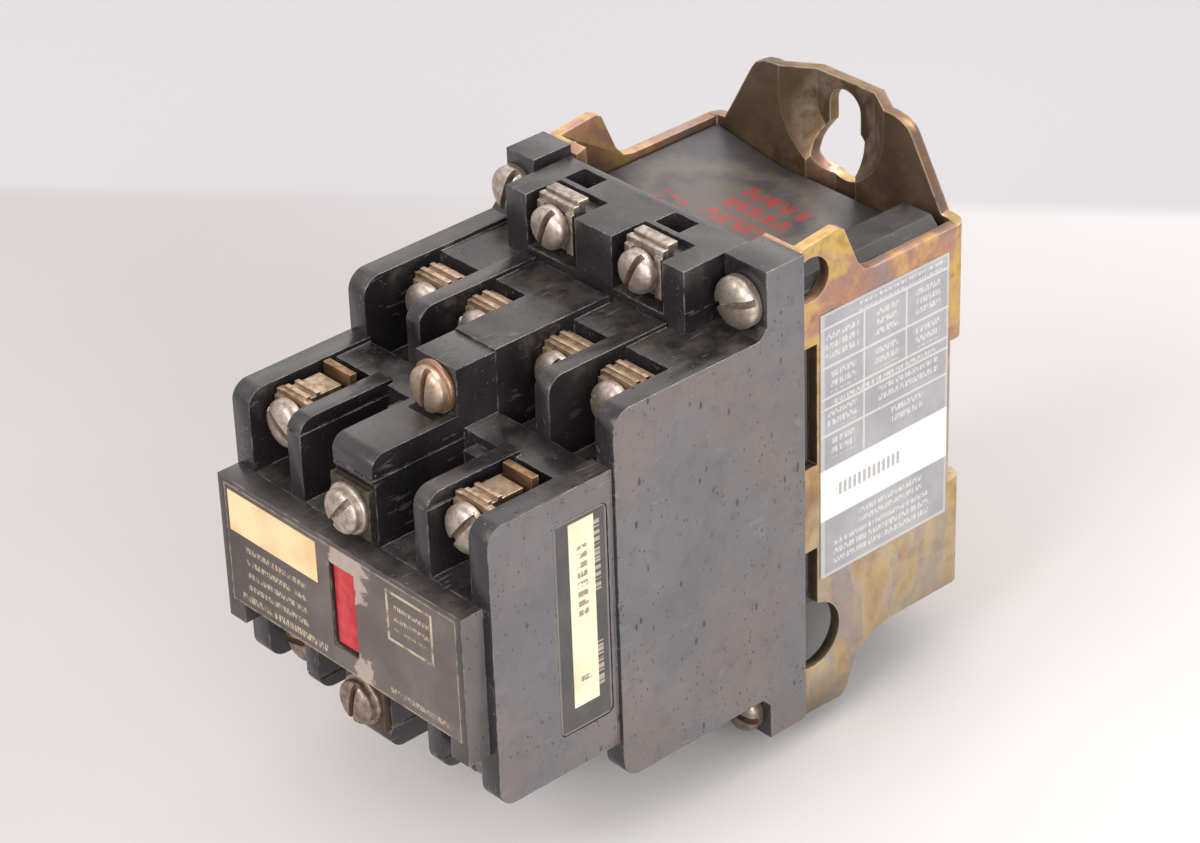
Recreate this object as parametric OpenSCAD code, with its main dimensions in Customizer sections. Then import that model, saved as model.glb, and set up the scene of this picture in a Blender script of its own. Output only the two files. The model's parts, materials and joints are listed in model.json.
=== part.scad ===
// Panel-mounted industrial control relay: a four pole contact block with a four pole
// front deck, an encapsulated coil and an E magnet in a sheet steel mounting bracket.
// Origin: centre line of the relay, on the rear mounting face of the bracket, at the
// mid height of the contact block. +X is to the right seen from the front, the front
// faces -Y, and +Z is up. All sizes are in millimetres.

/* [Contact block] */
// Width over the side panels
block_w = 61.8; // [61.4:0.1:62.4]
// Height of the side panels
block_h = 66.4; // [66:0.1:67]
// Depth of the contact block
block_depth = 39.8; // [39.6:0.1:40]
// Thickness of a side panel
block_wall = 4.05; // [3.8:0.05:4.2]
// Height of the raised upper corners above the side panels
corner_up = 11.3; // [10.5:0.1:12]
// Height of the lower corners below the side panels
corner_down = 8.0; // [7:0.1:8.4]

/* [Front deck] */
// Width over the deck's side panels
deck_w = 60.4; // [60:0.1:60.8]
// Height of the deck's side panels
deck_h = 49.9; // [49.5:0.1:50.5]
// Depth of the deck
deck_depth = 24.5; // [24.4:0.1:24.6]
// Thickness of a deck side panel
deck_wall = 4.25; // [4:0.05:4.4]
// Height of the deck's middle above the block's middle
deck_mid_z = -1.36; // [-1.5:0.02:-1.2]

/* [Poles] */
// Half width of the centre rib
rib_half = 4.7; // [4.5:0.05:4.8]
// Inner side of a barrier between two poles
barrier_in = 13.4; // [13.3:0.05:13.5]
// Outer side of a barrier between two poles
barrier_out = 16.6; // [16.5:0.05:16.8]

/* [Nameplate cap] */
// Width of the cap
cap_w = 58.3; // [57.8:0.1:58.6]
// Depth of the cap
cap_depth = 4.2; // [4:0.05:4.4]
// Sideways offset of the cap on the deck
cap_shift = -0.9; // [-1:0.1:0]

/* [Mounting bracket] */
// Width over the side flanges
bracket_w = 57.2; // [56.8:0.1:57.4]
// Sheet thickness
sheet = 2.0; // [1.9:0.05:2.05]
// Depth from the mounting face to the contact block
bracket_depth = 42.3; // [42.2:0.1:42.4]
// Radius of the keyhole's round part
keyhole_r = 5.4; // [5.2:0.1:5.8]
// Width of the keyhole's slot
keyhole_slot = 6.9; // [6.6:0.1:7]
// Radius of the lower mounting hole
foot_hole_r = 3.3; // [3:0.1:3.5]

/* [Motion] */
// Travel of the armature and the contact carriers
stroke = 4.0; // [3:0.1:4]

/* [Hidden] */
$fn = 48;

// Planes across the depth, from the mounting face forwards
block_back = -bracket_depth;
block_front = block_back - block_depth;
deck_front = block_front - deck_depth;
cap_front = deck_front - cap_depth;
block_recess = block_front + 16;
deck_recess = deck_front + 17.6;
corner_front = block_back - 8;

// Half sizes and heights
block_x = block_w / 2;
block_z = block_h / 2;
block_in = block_x - block_wall;
deck_x = deck_w / 2;
deck_in = deck_x - deck_wall;
deck_top = deck_mid_z + deck_h / 2;
deck_low = deck_mid_z - deck_h / 2;
block_floor = 18.5;
deck_floor = 10.66;
block_shelf = block_z - 0.8;
deck_shelf = deck_h / 2 - 0.8;
block_chamber_z = 16;
deck_chamber_z = 8.26;
block_rib_z = block_z + 0.5;
deck_rib_z = 26.7;
deck_pad_z = 34.75;
pole_in = (rib_half + barrier_in) / 2;
block_pole_out = (barrier_out + block_in) / 2;
deck_pole_out = (barrier_out + deck_in) / 2;
block_poles = [-block_pole_out, -pole_in, pole_in, block_pole_out];
deck_poles = [-deck_pole_out, deck_pole_out];
hair = 0.01;

// Terminals: the strip's inner leg, and how the screw stands in front of it
strip_w = 6.6;
strip_t = 1.4;
screw_head_r = 4.0;
coil_head_r = 3.6;
screw_head_h = 2.8;
shank_r = 1.9;
clamp_size = 8.2;
foot_drop = 5.3;
clamp_t = 1.3;
block_leg_front = block_front + 13.3;
deck_leg_front = deck_front + 13.8;
block_screw_z = 27.4;
deck_screw_z = 20.0;
block_face = block_front + 10.9;
deck_face = deck_front + 6.4;

// Contacts and carriers
contact_r = 1.7;
contact_t = 0.8;
contact_gap = stroke + 0.3;
bridge_half = 2.6;
bridge_t = 0.8;
block_contact_z = 8.0;
deck_contact_z = 5.6;
block_bridge_y = block_leg_front - 2 * contact_t - contact_gap;
deck_bridge_y = deck_leg_front - 2 * contact_t - contact_gap;
window_half = 3.0;
block_beam_z = 4.6;
deck_beam_z = 3.0;
block_beam_front = block_front + 2.9;
block_beam_back = block_bridge_y + 2.6;
deck_beam_front = deck_front + 2.8;
deck_beam_back = deck_bridge_y + 2.6;
partition_front = block_back - 17.5;
spring_x = 15.4;
stem_half = 3.6;
block_cave_x = block_in;
deck_cave_x = deck_in + 0.35;

// Magnet and coil
leg_face = block_back + 4.6;
coil_face = block_back + 5.1;
coil_back = -5.7;
coil_x = 16.2;
coil_z = 31;
yoke_x = 24.6;
yoke_z = 9;
yoke_back = -6.2;
yoke_web = 7.1;
centre_leg_x = 7;
outer_leg_x = 17.2;
side_block_x = 26.3;
side_block_low = -23.5;
armature_back = leg_face - stroke - 0.3;
armature_t = 7;

// Bracket
flange_x = bracket_w / 2;
bend_r = 2.2;
joggle = 3.5;
pad_x = 6.8;
wing_x = 12.2;
pad_z = 44.2;
foot_pad_z = -35;
flange_top = 34.6;
flange_low = -33.1;
flange_front = block_back + 5;
ear_top = 48.9;
foot_low = -46;
foot_hole_z = -39.6;
keyhole_z = 36.2;
keyhole_top = 47.2;
block_screw_x = 25.8;
upper_screw_z = 38.0;
lower_screw_z = -37.6;
lip_in = 20.5;
upper_tab_z = 25.9;
lower_tab_z = -33.6;

// Small front hardware
pad_screw_z = [28.9, -29.6];
front_screw_z = [15.1, -19.9];
rib_front = deck_front - 0.1;
pad_front = block_front - 7.9;
window_x = 2.95;
window_low = -9.9;
window_high = 5.2;
pin_r = 1.6;
coil_block_front = block_back - 15.2;
coil_strip_back = block_back - 11;
coil_top = 43.4;
coil_screw_x = 10.1;
coil_screw_z = 39.6;

// Nameplate cap
cap_top = 9.3;
cap_low = -13.7;
leg_low = -17.2;
cap_wall = 1.4;
label_sink = 0.25;

black = [0.09, 0.085, 0.09];
nickel = [0.62, 0.58, 0.52];
brass = [0.74, 0.55, 0.3];
zinc = [0.66, 0.58, 0.36];

// ---- shared shapes ------------------------------------------------------------

// Box from its lowest to its highest corner
module box(low, high) {
    translate(low)
        cube([high[0] - low[0], high[1] - low[1], high[2] - low[2]]);
}

// Flat outline drawn with x = depth (Y) and y = height (Z), extruded along X
module across(x0, x1) {
    translate([x0, 0, 0])
        rotate([90, 0, 90])
            linear_extrude(height = x1 - x0)
                children();
}

// Flat outline drawn with x = X and y = Z, extruded along Y
module along(y0, y1) {
    translate([0, y1, 0])
        rotate([90, 0, 0])
            linear_extrude(height = y1 - y0)
                children();
}

module both_sides() {
    children();
    mirror([1, 0, 0])
        children();
}

module top_and_bottom(mid) {
    children();
    translate([0, 0, 2 * mid])
        mirror([0, 0, 1])
            children();
}

// Cylinder along Y from y0 to y1
module rod(x, z, r, y0, y1) {
    translate([x, y0, z])
        rotate([-90, 0, 0])
            cylinder(r = r, h = y1 - y0);
}

// Rectangle from a to b whose two corners at the front (-Y) end are rounded
module rounded_front(a, b, r) {
    union() {
        translate([a[0] + r, a[1]])
            square([b[0] - a[0] - r, b[1] - a[1]]);
        translate([a[0], a[1] + r])
            square([b[0] - a[0], b[1] - a[1] - 2 * r]);
        translate([a[0] + r, a[1] + r])
            circle(r = r);
        translate([a[0] + r, b[1] - r])
            circle(r = r);
    }
}

// Slotted pan head screw along Y: the head's underside is at y, the head faces -Y
module slotted_screw(x, z, y, r, head_h, shank, length, slot_angle = 0) {
    crown = 1.0;
    difference() {
        union() {
            rod(x, z, r, y - head_h + crown, y);
            translate([x, y - head_h + crown, z])
                rotate([90, 0, 0])
                    cylinder(r1 = r, r2 = 0.66 * r, h = crown);
            rod(x, z, shank, y - hair, y + length);
        }
        translate([x, y - head_h, z])
            rotate([0, slot_angle, 0])
                cube([2 * r + 1, 2.8, 1.3], center = true);
    }
}

// Helical compression spring along Y, from y0 to y1
function spring_ring(p, t, s, wire, n) =
    [for (k = [0:n - 1]) p + wire * (cos(360 * k / n) * t + sin(360 * k / n) * s)];

module spring(x, z, y0, y1, r, wire, turns, steps = 14) {
    sides = 6;
    total = turns * steps;
    rise = y1 - y0 - 2 * wire;
    centres = [for (i = [0:total]) [x + r * cos(360 * i / steps),
                                    y0 + wire + rise * i / total,
                                    z + r * sin(360 * i / steps)]];
    points = [for (i = [0:total])
        each spring_ring(centres[i],
                         [cos(360 * i / steps), 0, sin(360 * i / steps)],
                         [0, 1, 0], wire, sides)];
    walls = [for (i = [0:total - 1], k = [0:sides - 1])
        [i * sides + k, i * sides + (k + 1) % sides,
         (i + 1) * sides + (k + 1) % sides, (i + 1) * sides + k]];
    start = [for (k = [0:sides - 1]) sides - 1 - k];
    end = [for (k = [0:sides - 1]) total * sides + k];
    polyhedron(points = points, faces = concat([start], walls, [end]), convexity = 6);
}

// ---- mounting bracket ----------------------------------------------------------

// Quarter of a bend, in plan: the outer corner points to +X and towards the given end
module bend_plan(front) {
    intersection() {
        difference() {
            circle(r = bend_r);
            circle(r = bend_r - sheet);
        }
        translate([0, front ? -bend_r : 0])
            square([bend_r, bend_r]);
    }
}

// Plan of the flat back plate with its two rear bends
module back_plan() {
    bend_x = flange_x - bend_r;
    translate([-bend_x - hair, -joggle - sheet])
        square([2 * (bend_x + hair), sheet]);
    translate([bend_x, -joggle - bend_r])
        bend_plan(false);
    mirror([1, 0])
        translate([bend_x, -joggle - bend_r])
            bend_plan(false);
}

// Tapered boss, round at its end and open away from it, pressed back from the plate:
// half widths wide at the plate and narrow at the back, between two depths
module boss(wide, narrow, y0, y1, end_z, far_z) {
    low_z = min(end_z, far_z);
    translate([0, y0, end_z])
        rotate([-90, 0, 0])
            cylinder(r1 = wide, r2 = narrow, h = y1 - y0);
    translate([0, 0, low_z])
        linear_extrude(height = abs(far_z - end_z))
            polygon([[-wide, y0], [wide, y0], [narrow, y1], [-narrow, y1]]);
}

// The two bosses and the stiffening rib between them, set back by the given depth
module pressed_shapes(set_back, thinner) {
    y0 = -joggle - set_back;
    y1 = -set_back;
    boss(wing_x - thinner, pad_x - thinner, y0, y1, pad_z, ear_top + 5);
    boss(wing_x - thinner, pad_x - thinner, y0, y1, foot_pad_z, foot_low - 5);
    translate([0, 0, foot_pad_z])
        linear_extrude(height = pad_z - foot_pad_z)
            polygon([[-6 + thinner, y0], [6 - thinner, y0], [2.6 - thinner, y1],
                     [-2.6 + thinner, y1]]);
}

// Outline of the back plate with the keyhole ear and the lower foot
module back_outline() {
    foot_x = 10;
    polygon([[-flange_x, flange_low], [-foot_x, flange_low], [-foot_x, foot_low + 2],
             [-foot_x + 2, foot_low], [foot_x - 2, foot_low], [foot_x, foot_low + 2],
             [foot_x, flange_low], [flange_x, flange_low], [flange_x, flange_top],
             [24.7, flange_top + 0.4], [18.2, 46.4], [17.2, 47.7], [15.6, 48.5],
             [13.4, ear_top], [-13.4, ear_top], [-15.6, 48.5], [-17.2, 47.7],
             [-18.2, 46.4], [-24.7, flange_top + 0.4], [-flange_x, flange_top]]);
}

// Outline of a side flange with its upper and lower ears, x = depth, y = height
module flange_outline() {
    back = -joggle - bend_r;
    polygon([[back, flange_low], [-20.8, flange_low], [-24.3, flange_low - 0.6],
             [-27, -35.6], [-29, -38], [-30.4, -42], [-32, -43.2],
             [block_back, -42.8], [block_back, lower_tab_z], [flange_front, lower_tab_z],
             [flange_front, -11.6], [block_back, -11.6], [block_back, 3.9],
             [flange_front, 3.9], [flange_front, upper_tab_z], [block_back, upper_tab_z],
             [block_back, 43], [-40.2, 43.6], [-32.8, 44.4], [-31.4, 43.8],
             [-28.4, 37], [-26.8, 35.1], [-24.6, flange_top], [back, flange_top]]);
}

// Inward lip at the front of an ear, with its bend, between two heights
module ear_lip(z0, z1) {
    bend_y = block_back + bend_r;
    intersection() {
        translate([0, 0, z0])
            linear_extrude(height = z1 - z0) {
                translate([flange_x - bend_r, bend_y])
                    bend_plan(true);
                translate([lip_in, block_back])
                    square([flange_x - bend_r - lip_in + hair, sheet]);
            }
        across(lip_in, flange_x)
            flange_outline();
    }
}

module bracket_side() {
    bend_y = block_back + bend_r;
    difference() {
        union() {
            difference() {
                across(flange_x - sheet, flange_x)
                    flange_outline();
                box([20, block_back - 1, upper_tab_z], [flange_x + 1, bend_y, 50]);
                box([20, block_back - 1, -50], [flange_x + 1, bend_y, lower_tab_z]);
            }
            ear_lip(upper_tab_z, 44);
            ear_lip(-44, lower_tab_z);
        }
        // round reliefs at the bends, where the block's screws pass
        across(flange_x - 2.4, flange_x + 1)
            translate([-38.6, 37.7])
                circle(r = 3.9);
        across(flange_x - 2.4, flange_x + 1)
            translate([-38.3, -28.2])
                circle(r = 6);
        rod(block_screw_x, upper_screw_z, shank_r, block_back - 1, -35);
        rod(block_screw_x, lower_screw_z, shank_r, block_back - 1, -35);
    }
}

module keyhole_outline() {
    translate([0, keyhole_z])
        circle(r = keyhole_r);
    translate([-keyhole_slot / 2, keyhole_z])
        square([keyhole_slot, keyhole_top - keyhole_slot / 2 - keyhole_z]);
    translate([0, keyhole_top - keyhole_slot / 2])
        circle(r = keyhole_slot / 2);
}

module mounting_bracket() {
    color(zinc)
        difference() {
            union() {
                intersection() {
                    union() {
                        translate([0, 0, -60])
                            linear_extrude(height = 120)
                                back_plan();
                        pressed_shapes(0, 0);
                    }
                    along(-joggle - bend_r, 1)
                        back_outline();
                }
                both_sides()
                    bracket_side();
            }
            pressed_shapes(sheet, 0.3);
            // windows in the two rear corners
            both_sides()
                box([flange_x - 6.4, -7, -12.5], [flange_x + 1, 1, 14]);
            along(-joggle - sheet - 1, 1)
                keyhole_outline();
            rod(0, foot_hole_z, foot_hole_r, -sheet - 1, 1);
        }
}

module rating_label() {
    label_t = 0.2;
    color([0.6, 0.6, 0.62])
        box([flange_x, -36.7, -18], [flange_x + label_t, -7.8, 30.6]);
}

// ---- contact block ---------------------------------------------------------------

module block_panel_outline() {
    chamfer = 1.6;
    union() {
        rounded_front([block_front, -block_z], [block_back, block_z], 3.4);
        polygon([[corner_front - chamfer, block_z - hair], [corner_front, block_z + chamfer],
                 [corner_front, block_z + corner_up], [block_back, block_z + corner_up],
                 [block_back, block_z - hair]]);
        polygon([[corner_front - chamfer, -block_z + hair],
                 [corner_front, -block_z - chamfer],
                 [corner_front, -block_z - corner_down],
                 [block_back, -block_z - corner_down], [block_back, -block_z + hair]]);
    }
}

module base_housing() {
    barrier_back = block_back - 15.5;
    rib_back = block_back - 16.5;
    color(black)
        difference() {
            union() {
                both_sides()
                    across(block_in, block_x)
                        block_panel_outline();
                box([-block_in - hair, block_front, -block_floor],
                    [block_in + hair, block_back, block_floor]);
                box([-block_in - hair, block_recess, -block_shelf],
                    [block_in + hair, block_back, block_shelf]);
                both_sides()
                    across(barrier_in, barrier_out)
                        rounded_front([block_front, -block_z], [barrier_back, block_z], 3);
                across(-rib_half, rib_half) {
                    translate([block_front, -block_rib_z])
                        square([rib_back - block_front, 2 * block_rib_z]);
                }
                both_sides() {
                    box([21.8, corner_front, block_shelf - hair],
                        [block_in + hair, block_back, block_z + corner_up]);
                    box([21.8, corner_front, -block_z - corner_down],
                        [block_in + hair, block_back, -block_shelf + hair]);
                }
                for (x = block_poles)
                    top_and_bottom(0)
                        strip_seat(x, block_face, block_recess, block_floor,
                                   block_screw_z - foot_drop);
            }
            // contact chamber and armature chamber, either side of the partition
            box([-block_cave_x, block_front + 2.4, -block_chamber_z],
                [block_cave_x, partition_front, block_chamber_z]);
            box([-block_cave_x, partition_front + 2.4, -block_chamber_z],
                [block_cave_x, block_back + 1, block_chamber_z]);
            box([-7.4, partition_front - 1, -block_beam_z - 0.4],
                [7.4, partition_front + 3, block_beam_z + 0.4]);
            box([-stem_half - 0.4, block_front - 1, deck_mid_z - deck_beam_z - 0.4],
                [stem_half + 0.4, block_front + 3, deck_mid_z + deck_beam_z + 0.4]);
            for (x = block_poles)
                top_and_bottom(0)
                    strip_slot(x, block_leg_front, block_chamber_z,
                               block_screw_z - foot_drop);
            for (side = [-1, 1]) {
                rod(side * block_screw_x, upper_screw_z, shank_r + 0.3,
                    corner_front - 1, block_back + 1);
                rod(side * block_screw_x, lower_screw_z, shank_r + 0.3,
                    corner_front - 1, block_back + 1);
                rod(side * block_screw_x, upper_screw_z, 4.6, corner_front - 4, corner_front);
                rod(side * block_screw_x, lower_screw_z, 3.9, corner_front - 4, corner_front);
            }
            for (z = pad_screw_z)
                rod(0, z, shank_r, block_front - 1, block_front + 9);
            // the left upper corner stands in from the side panel
            box([-block_x - 1, corner_front - 3, block_z + 1.6],
                [-block_x + 2.5, block_back + 1, block_z + corner_up + 1]);
        }
}

// Slot that a terminal strip's inner leg passes through
module strip_slot(x, leg_front, chamber_z, top_z) {
    half = strip_w / 2 + 0.1;
    box([x - half, leg_front - 0.1, chamber_z - 1],
        [x + half, leg_front + strip_t + 0.1, top_z + 1]);
}

// Seat under a terminal strip's foot
module strip_seat(x, face, recess, floor_z, top_z) {
    box([x - 3.8, face + strip_t + 0.2, floor_z - hair],
        [x + 3.8, recess + hair, top_z - 0.02]);
}

// Terminal strip: front plate behind the clamp, foot, and inner leg with its contact
module terminal_strip(x, face, leg_front, contact_z, screw_z, leg_top) {
    half = strip_w / 2;
    foot_z = screw_z - foot_drop;
    difference() {
        union() {
            box([x - half, face, foot_z], [x + half, face + strip_t, screw_z + 3.0]);
            box([x - half, face, foot_z], [x + half, leg_front + strip_t, foot_z + strip_t]);
            box([x - half, leg_front, contact_z - 2], [x + half, leg_front + strip_t, leg_top]);
            rod(x, contact_z, contact_r, leg_front - contact_t, leg_front + hair);
        }
        rod(x, screw_z, shank_r, face - 1, face + 5);
    }
}

// Saddle clamp: square plate with a ridged, turned-back top flange and two raised edges
module clamp_plate(x, z, back, flange, flange_half) {
    half = clamp_size / 2;
    ridges = flange > 2 ? 2 : 0;
    difference() {
        union() {
            for (i = [0:1:ridges - 1])
                box([x - flange_half, back - clamp_t + 0.5 + 2 * i, z + half - 0.5],
                    [x + flange_half, back - clamp_t + 1.4 + 2 * i, z + half + 0.75]);
            box([x - half, back - clamp_t, z - half], [x + half, back, z + half]);
            box([x - flange_half, back - clamp_t, z + half - 1],
                [x + flange_half, back + flange, z + half + 0.2]);
            for (edge = [x - half, x + half - 1.6])
                box([edge, back - clamp_t - 0.5, z - half], [edge + 1.6, back, z + half - 1]);
        }
        rod(x, z, shank_r + 0.2, back - clamp_t - 1, back + 1);
    }
}

module base_terminal_strips() {
    color(brass)
        for (x = block_poles)
            top_and_bottom(0)
                terminal_strip(x, block_face, block_leg_front, block_contact_z,
                               block_screw_z, block_screw_z - 0.6);
}

module base_clamp_plates() {
    color(nickel)
        for (x = block_poles)
            top_and_bottom(0)
                clamp_plate(x, block_screw_z, block_face, 3.2, 3.4);
}

module base_terminal_screws() {
    color(nickel)
        for (i = [0:3])
            for (side = [-1, 1])
                slotted_screw(block_poles[i], side * block_screw_z,
                              block_face - clamp_t - 0.5, screw_head_r, screw_head_h,
                              shank_r - 0.05, 5.5, 25 + 40 * i);
}

module block_mounting_screws() {
    color(nickel)
        for (side = [-1, 1]) {
            slotted_screw(side * block_screw_x, upper_screw_z, corner_front, 4.3, 3,
                          shank_r - 0.05, 10, side > 0 ? 35 : 70);
            slotted_screw(side * block_screw_x, lower_screw_z, corner_front, 3.6, 3,
                          shank_r - 0.05, 10, 60);
        }
}

// ---- coil and magnet ---------------------------------------------------------------

module coil_block() {
    shelf_left = side_block_x;
    color([0.2, 0.2, 0.21])
        difference() {
            union() {
                box([-coil_x, coil_face, -coil_z], [coil_x, coil_back, coil_z]);
                box([-shelf_left, block_back + 2.2, 26.4], [coil_x, coil_back, coil_z]);
                // the top rises gently towards the left flange
                along(block_back + 2.2, coil_back)
                    polygon([[-shelf_left, 26.4], [-11, 26.4], [-11, coil_z],
                             [-shelf_left, coil_z + 2.6]]);
                box([-19.8, block_back + 0.05, 26.4], [coil_x, block_back + 2.5, coil_z]);
            }
            box([-centre_leg_x - 0.3, coil_face - 5, -yoke_z - 0.3],
                [centre_leg_x + 0.3, 0, yoke_z + 0.3]);
            box([-coil_x - 1, yoke_back - yoke_web - 0.3, -yoke_z - 0.3],
                [coil_x + 1, 0, yoke_z + 0.3]);
            // cavity for the bobbin and winding
            box([-14.6, -34.4, -26], [14.6, -15.2, 24.4]);
        }
}

module coil_bobbin() {
    color([0.82, 0.78, 0.66])
        difference() {
            union() {
                box([-centre_leg_x - 1.6, -34.3, -yoke_z - 1.6],
                    [centre_leg_x + 1.6, -15.3, yoke_z + 1.6]);
                box([-14.4, -34.3, -24], [14.4, -33, 24]);
                box([-14.4, -16.6, -24], [14.4, -15.3, 24]);
            }
            box([-centre_leg_x - 0.3, -40, -yoke_z - 0.3],
                [centre_leg_x + 0.3, 0, yoke_z + 0.3]);
        }
}

module coil_winding() {
    color([0.7, 0.38, 0.2])
        difference() {
            box([-14.2, -32.9, -23.4], [14.2, -16.7, 23.4]);
            box([-centre_leg_x - 1.7, -40, -yoke_z - 1.7],
                [centre_leg_x + 1.7, 0, yoke_z + 1.7]);
        }
}

module magnet_yoke() {
    color([0.36, 0.35, 0.34])
        difference() {
            union() {
                box([-yoke_x, yoke_back - yoke_web, -yoke_z], [yoke_x, yoke_back, yoke_z]);
                box([-centre_leg_x, leg_face, -yoke_z], [centre_leg_x, yoke_back - 1, yoke_z]);
                both_sides()
                    box([outer_leg_x, leg_face, -yoke_z], [yoke_x, yoke_back - 1, yoke_z]);
            }
            both_sides()
                shading_loop(0);
        }
}

// Rectangular copper loop let into the face of an outer leg
module shading_loop(clear) {
    difference() {
        box([18.2 + clear, leg_face - hair, -8 + clear],
            [23.8 - clear, leg_face + 1.6 - clear, 8 - clear]);
        box([19.4 - clear, leg_face - 1, -6.8 - clear],
            [22.6 + clear, leg_face + 3, 6.8 + clear]);
    }
}

module shading_rings() {
    color([0.75, 0.42, 0.24])
        both_sides()
            translate([0, 0.02, 0])
                shading_loop(0.05);
}

module yoke_cushion() {
    color([0.13, 0.12, 0.12])
        box([-11.5, yoke_back + 0.02, -8], [11.5, -joggle - sheet - 0.02, 8]);
}

// Moulded blocks beside the coil that carry the outer legs of the yoke
module magnet_side_blocks() {
    tunnel_z = yoke_z + 0.6;
    wall_x = yoke_x + 0.4;
    color(black) {
        side_block(36, tunnel_z, wall_x);
        mirror([1, 0, 0])
            side_block(25.9, tunnel_z, wall_x);
    }
}

module side_block(top_z, tunnel_z, wall_x) {
    chamfer = 1.6;
    step_x = top_z > coil_z ? 18.8 : coil_x + 0.4;
    difference() {
        along(block_back + 0.6, -7.8)
            polygon([[coil_x + 0.4, side_block_low], [side_block_x, side_block_low],
                     [side_block_x, top_z - chamfer], [side_block_x - chamfer, top_z],
                     [step_x, top_z], [step_x, min(top_z, coil_z + 0.6)],
                     [coil_x + 0.4, min(top_z, coil_z + 0.6)]]);
        box([coil_x, block_back, -tunnel_z], [wall_x, yoke_back + 0.3, tunnel_z]);
        box([coil_x, block_back, 24], [27, block_back + 2.1, 45]);
    }
}

module coil_terminal_block() {
    half = 20.4;
    wall_in = 15.6;
    middle = 4.2;
    back = block_back - 1.5;
    low = block_shelf + 0.02;
    color(black)
        difference() {
            union() {
                box([-half + 1.2, coil_block_front, low], [half - 1.2, back, coil_top - 1.3]);
                both_sides()
                    box([wall_in, coil_block_front, low], [half, back, coil_top]);
                box([-middle, coil_block_front, low], [middle, back, coil_top]);
                box([-half + 1, back - 6.6, coil_top - 2], [half - 1, back, coil_top]);
            }
            // terminal pockets, open to the front and the top
            both_sides()
                box([middle, coil_block_front - 1, 34.2],
                    [wall_in, coil_strip_back, coil_top + 1]);
            // wire holes behind the strips
            for (x = [-15.5, 5.4])
                box([x, back - 5.6, 36], [x + 5.4, back - 1.3, coil_top + 1]);
            for (x = [-coil_screw_x, coil_screw_x])
                rod(x, coil_screw_z, shank_r, coil_strip_back - 1, coil_strip_back + 2.6);
        }
}

module coil_terminal_strips() {
    face = coil_strip_back - strip_t;
    top = coil_top + 1;
    color(nickel)
        for (x = [-coil_screw_x, coil_screw_x])
            difference() {
                union() {
                    box([x - 3.85, face, 35.4], [x + 3.85, coil_strip_back - 0.02, top]);
                    box([x - 3.85, face, top - 1.2], [x + 3.85, coil_strip_back + 0.8, top]);
                }
                rod(x, coil_screw_z, shank_r, face - 1, coil_strip_back + 1);
            }
}

module coil_clamp_plates() {
    color(nickel)
        for (x = [-coil_screw_x, coil_screw_x])
            clamp_plate(x, coil_screw_z, coil_strip_back - strip_t, 0, 4.1);
}

module coil_terminal_screws() {
    underside = coil_strip_back - strip_t - clamp_t - 0.5;
    color(nickel)
        for (x = [-coil_screw_x, coil_screw_x])
            slotted_screw(x, coil_screw_z, underside, coil_head_r, screw_head_h,
                          shank_r - 0.05, 5.4, 80 + x);
}

// ---- moving parts of the contact block --------------------------------------------

module armature() {
    color([0.36, 0.35, 0.34])
        difference() {
            box([-yoke_x, armature_back - armature_t, -yoke_z],
                [yoke_x, armature_back, yoke_z]);
            rod_z(0, armature_back - 3.5, pin_r, 40);
        }
}

// Cylinder along Z, centred on z = 0
module rod_z(x, y, r, length) {
    translate([x, y, -length / 2])
        cylinder(r = r, h = length);
}

module armature_pin() {
    color([0.6, 0.6, 0.6])
        rod_z(0, armature_back - 3.5, pin_r - 0.05, 23);
}

// Bar with a window for each bridge, set on the given middle height
module window_bar(poles, half_x, half_z, mid, front, back, bridge_y) {
    difference() {
        box([-half_x, front, mid - half_z], [half_x, back, mid + half_z]);
        for (x = poles)
            box([x - window_half, front + 0.9, mid - half_z - 1],
                [x + window_half, bridge_y, mid + half_z + 1]);
    }
}

module base_contact_carrier() {
    ear_y = armature_back - 3.5;
    armature_front = armature_back - armature_t;
    color([0.16, 0.13, 0.11])
        difference() {
            union() {
                window_bar(block_poles, block_cave_x - 1.1, block_beam_z, 0,
                           block_beam_front, block_beam_back, block_bridge_y);
                box([-7, block_beam_back - hair, -block_beam_z],
                    [7, armature_front, block_beam_z]);
                // yoke around the armature that holds the pin
                box([-4, armature_front - 3, -11.8], [4, armature_front, 11.8]);
                top_and_bottom(0)
                    box([-4, armature_front - hair, yoke_z + 0.2],
                        [4, ear_y + 3, 11.8]);
                box([-stem_half, block_front - 1.7, deck_mid_z - deck_beam_z],
                    [stem_half, block_beam_front + hair, deck_mid_z + deck_beam_z]);
            }
            rod_z(0, ear_y, pin_r, 40);
        }
}

// Bridge with its two contacts; the rear of the plate is at y
module contact_bridge(x, mid, contact_z, y) {
    box([x - bridge_half, y - bridge_t, mid - contact_z - 2],
        [x + bridge_half, y, mid + contact_z + 2]);
    for (side = [-1, 1])
        rod(x, mid + side * contact_z, contact_r, y - hair, y + contact_t);
}

module base_contact_bridges() {
    color(brass)
        for (x = block_poles)
            contact_bridge(x, 0, block_contact_z, block_bridge_y - 0.02);
}

module base_contact_springs() {
    color([0.7, 0.7, 0.68])
        for (x = block_poles)
            spring(x, 0, block_beam_front + 0.92, block_bridge_y - bridge_t - 0.04,
                   1.6, 0.22, 3, 12);
}

module return_springs() {
    color([0.7, 0.7, 0.68])
        for (x = [-spring_x, spring_x])
            spring(x, 0, block_beam_back + 0.05, partition_front - 0.02, 2.3, 0.3, 5, 16);
}

// ---- front deck ---------------------------------------------------------------------

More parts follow.
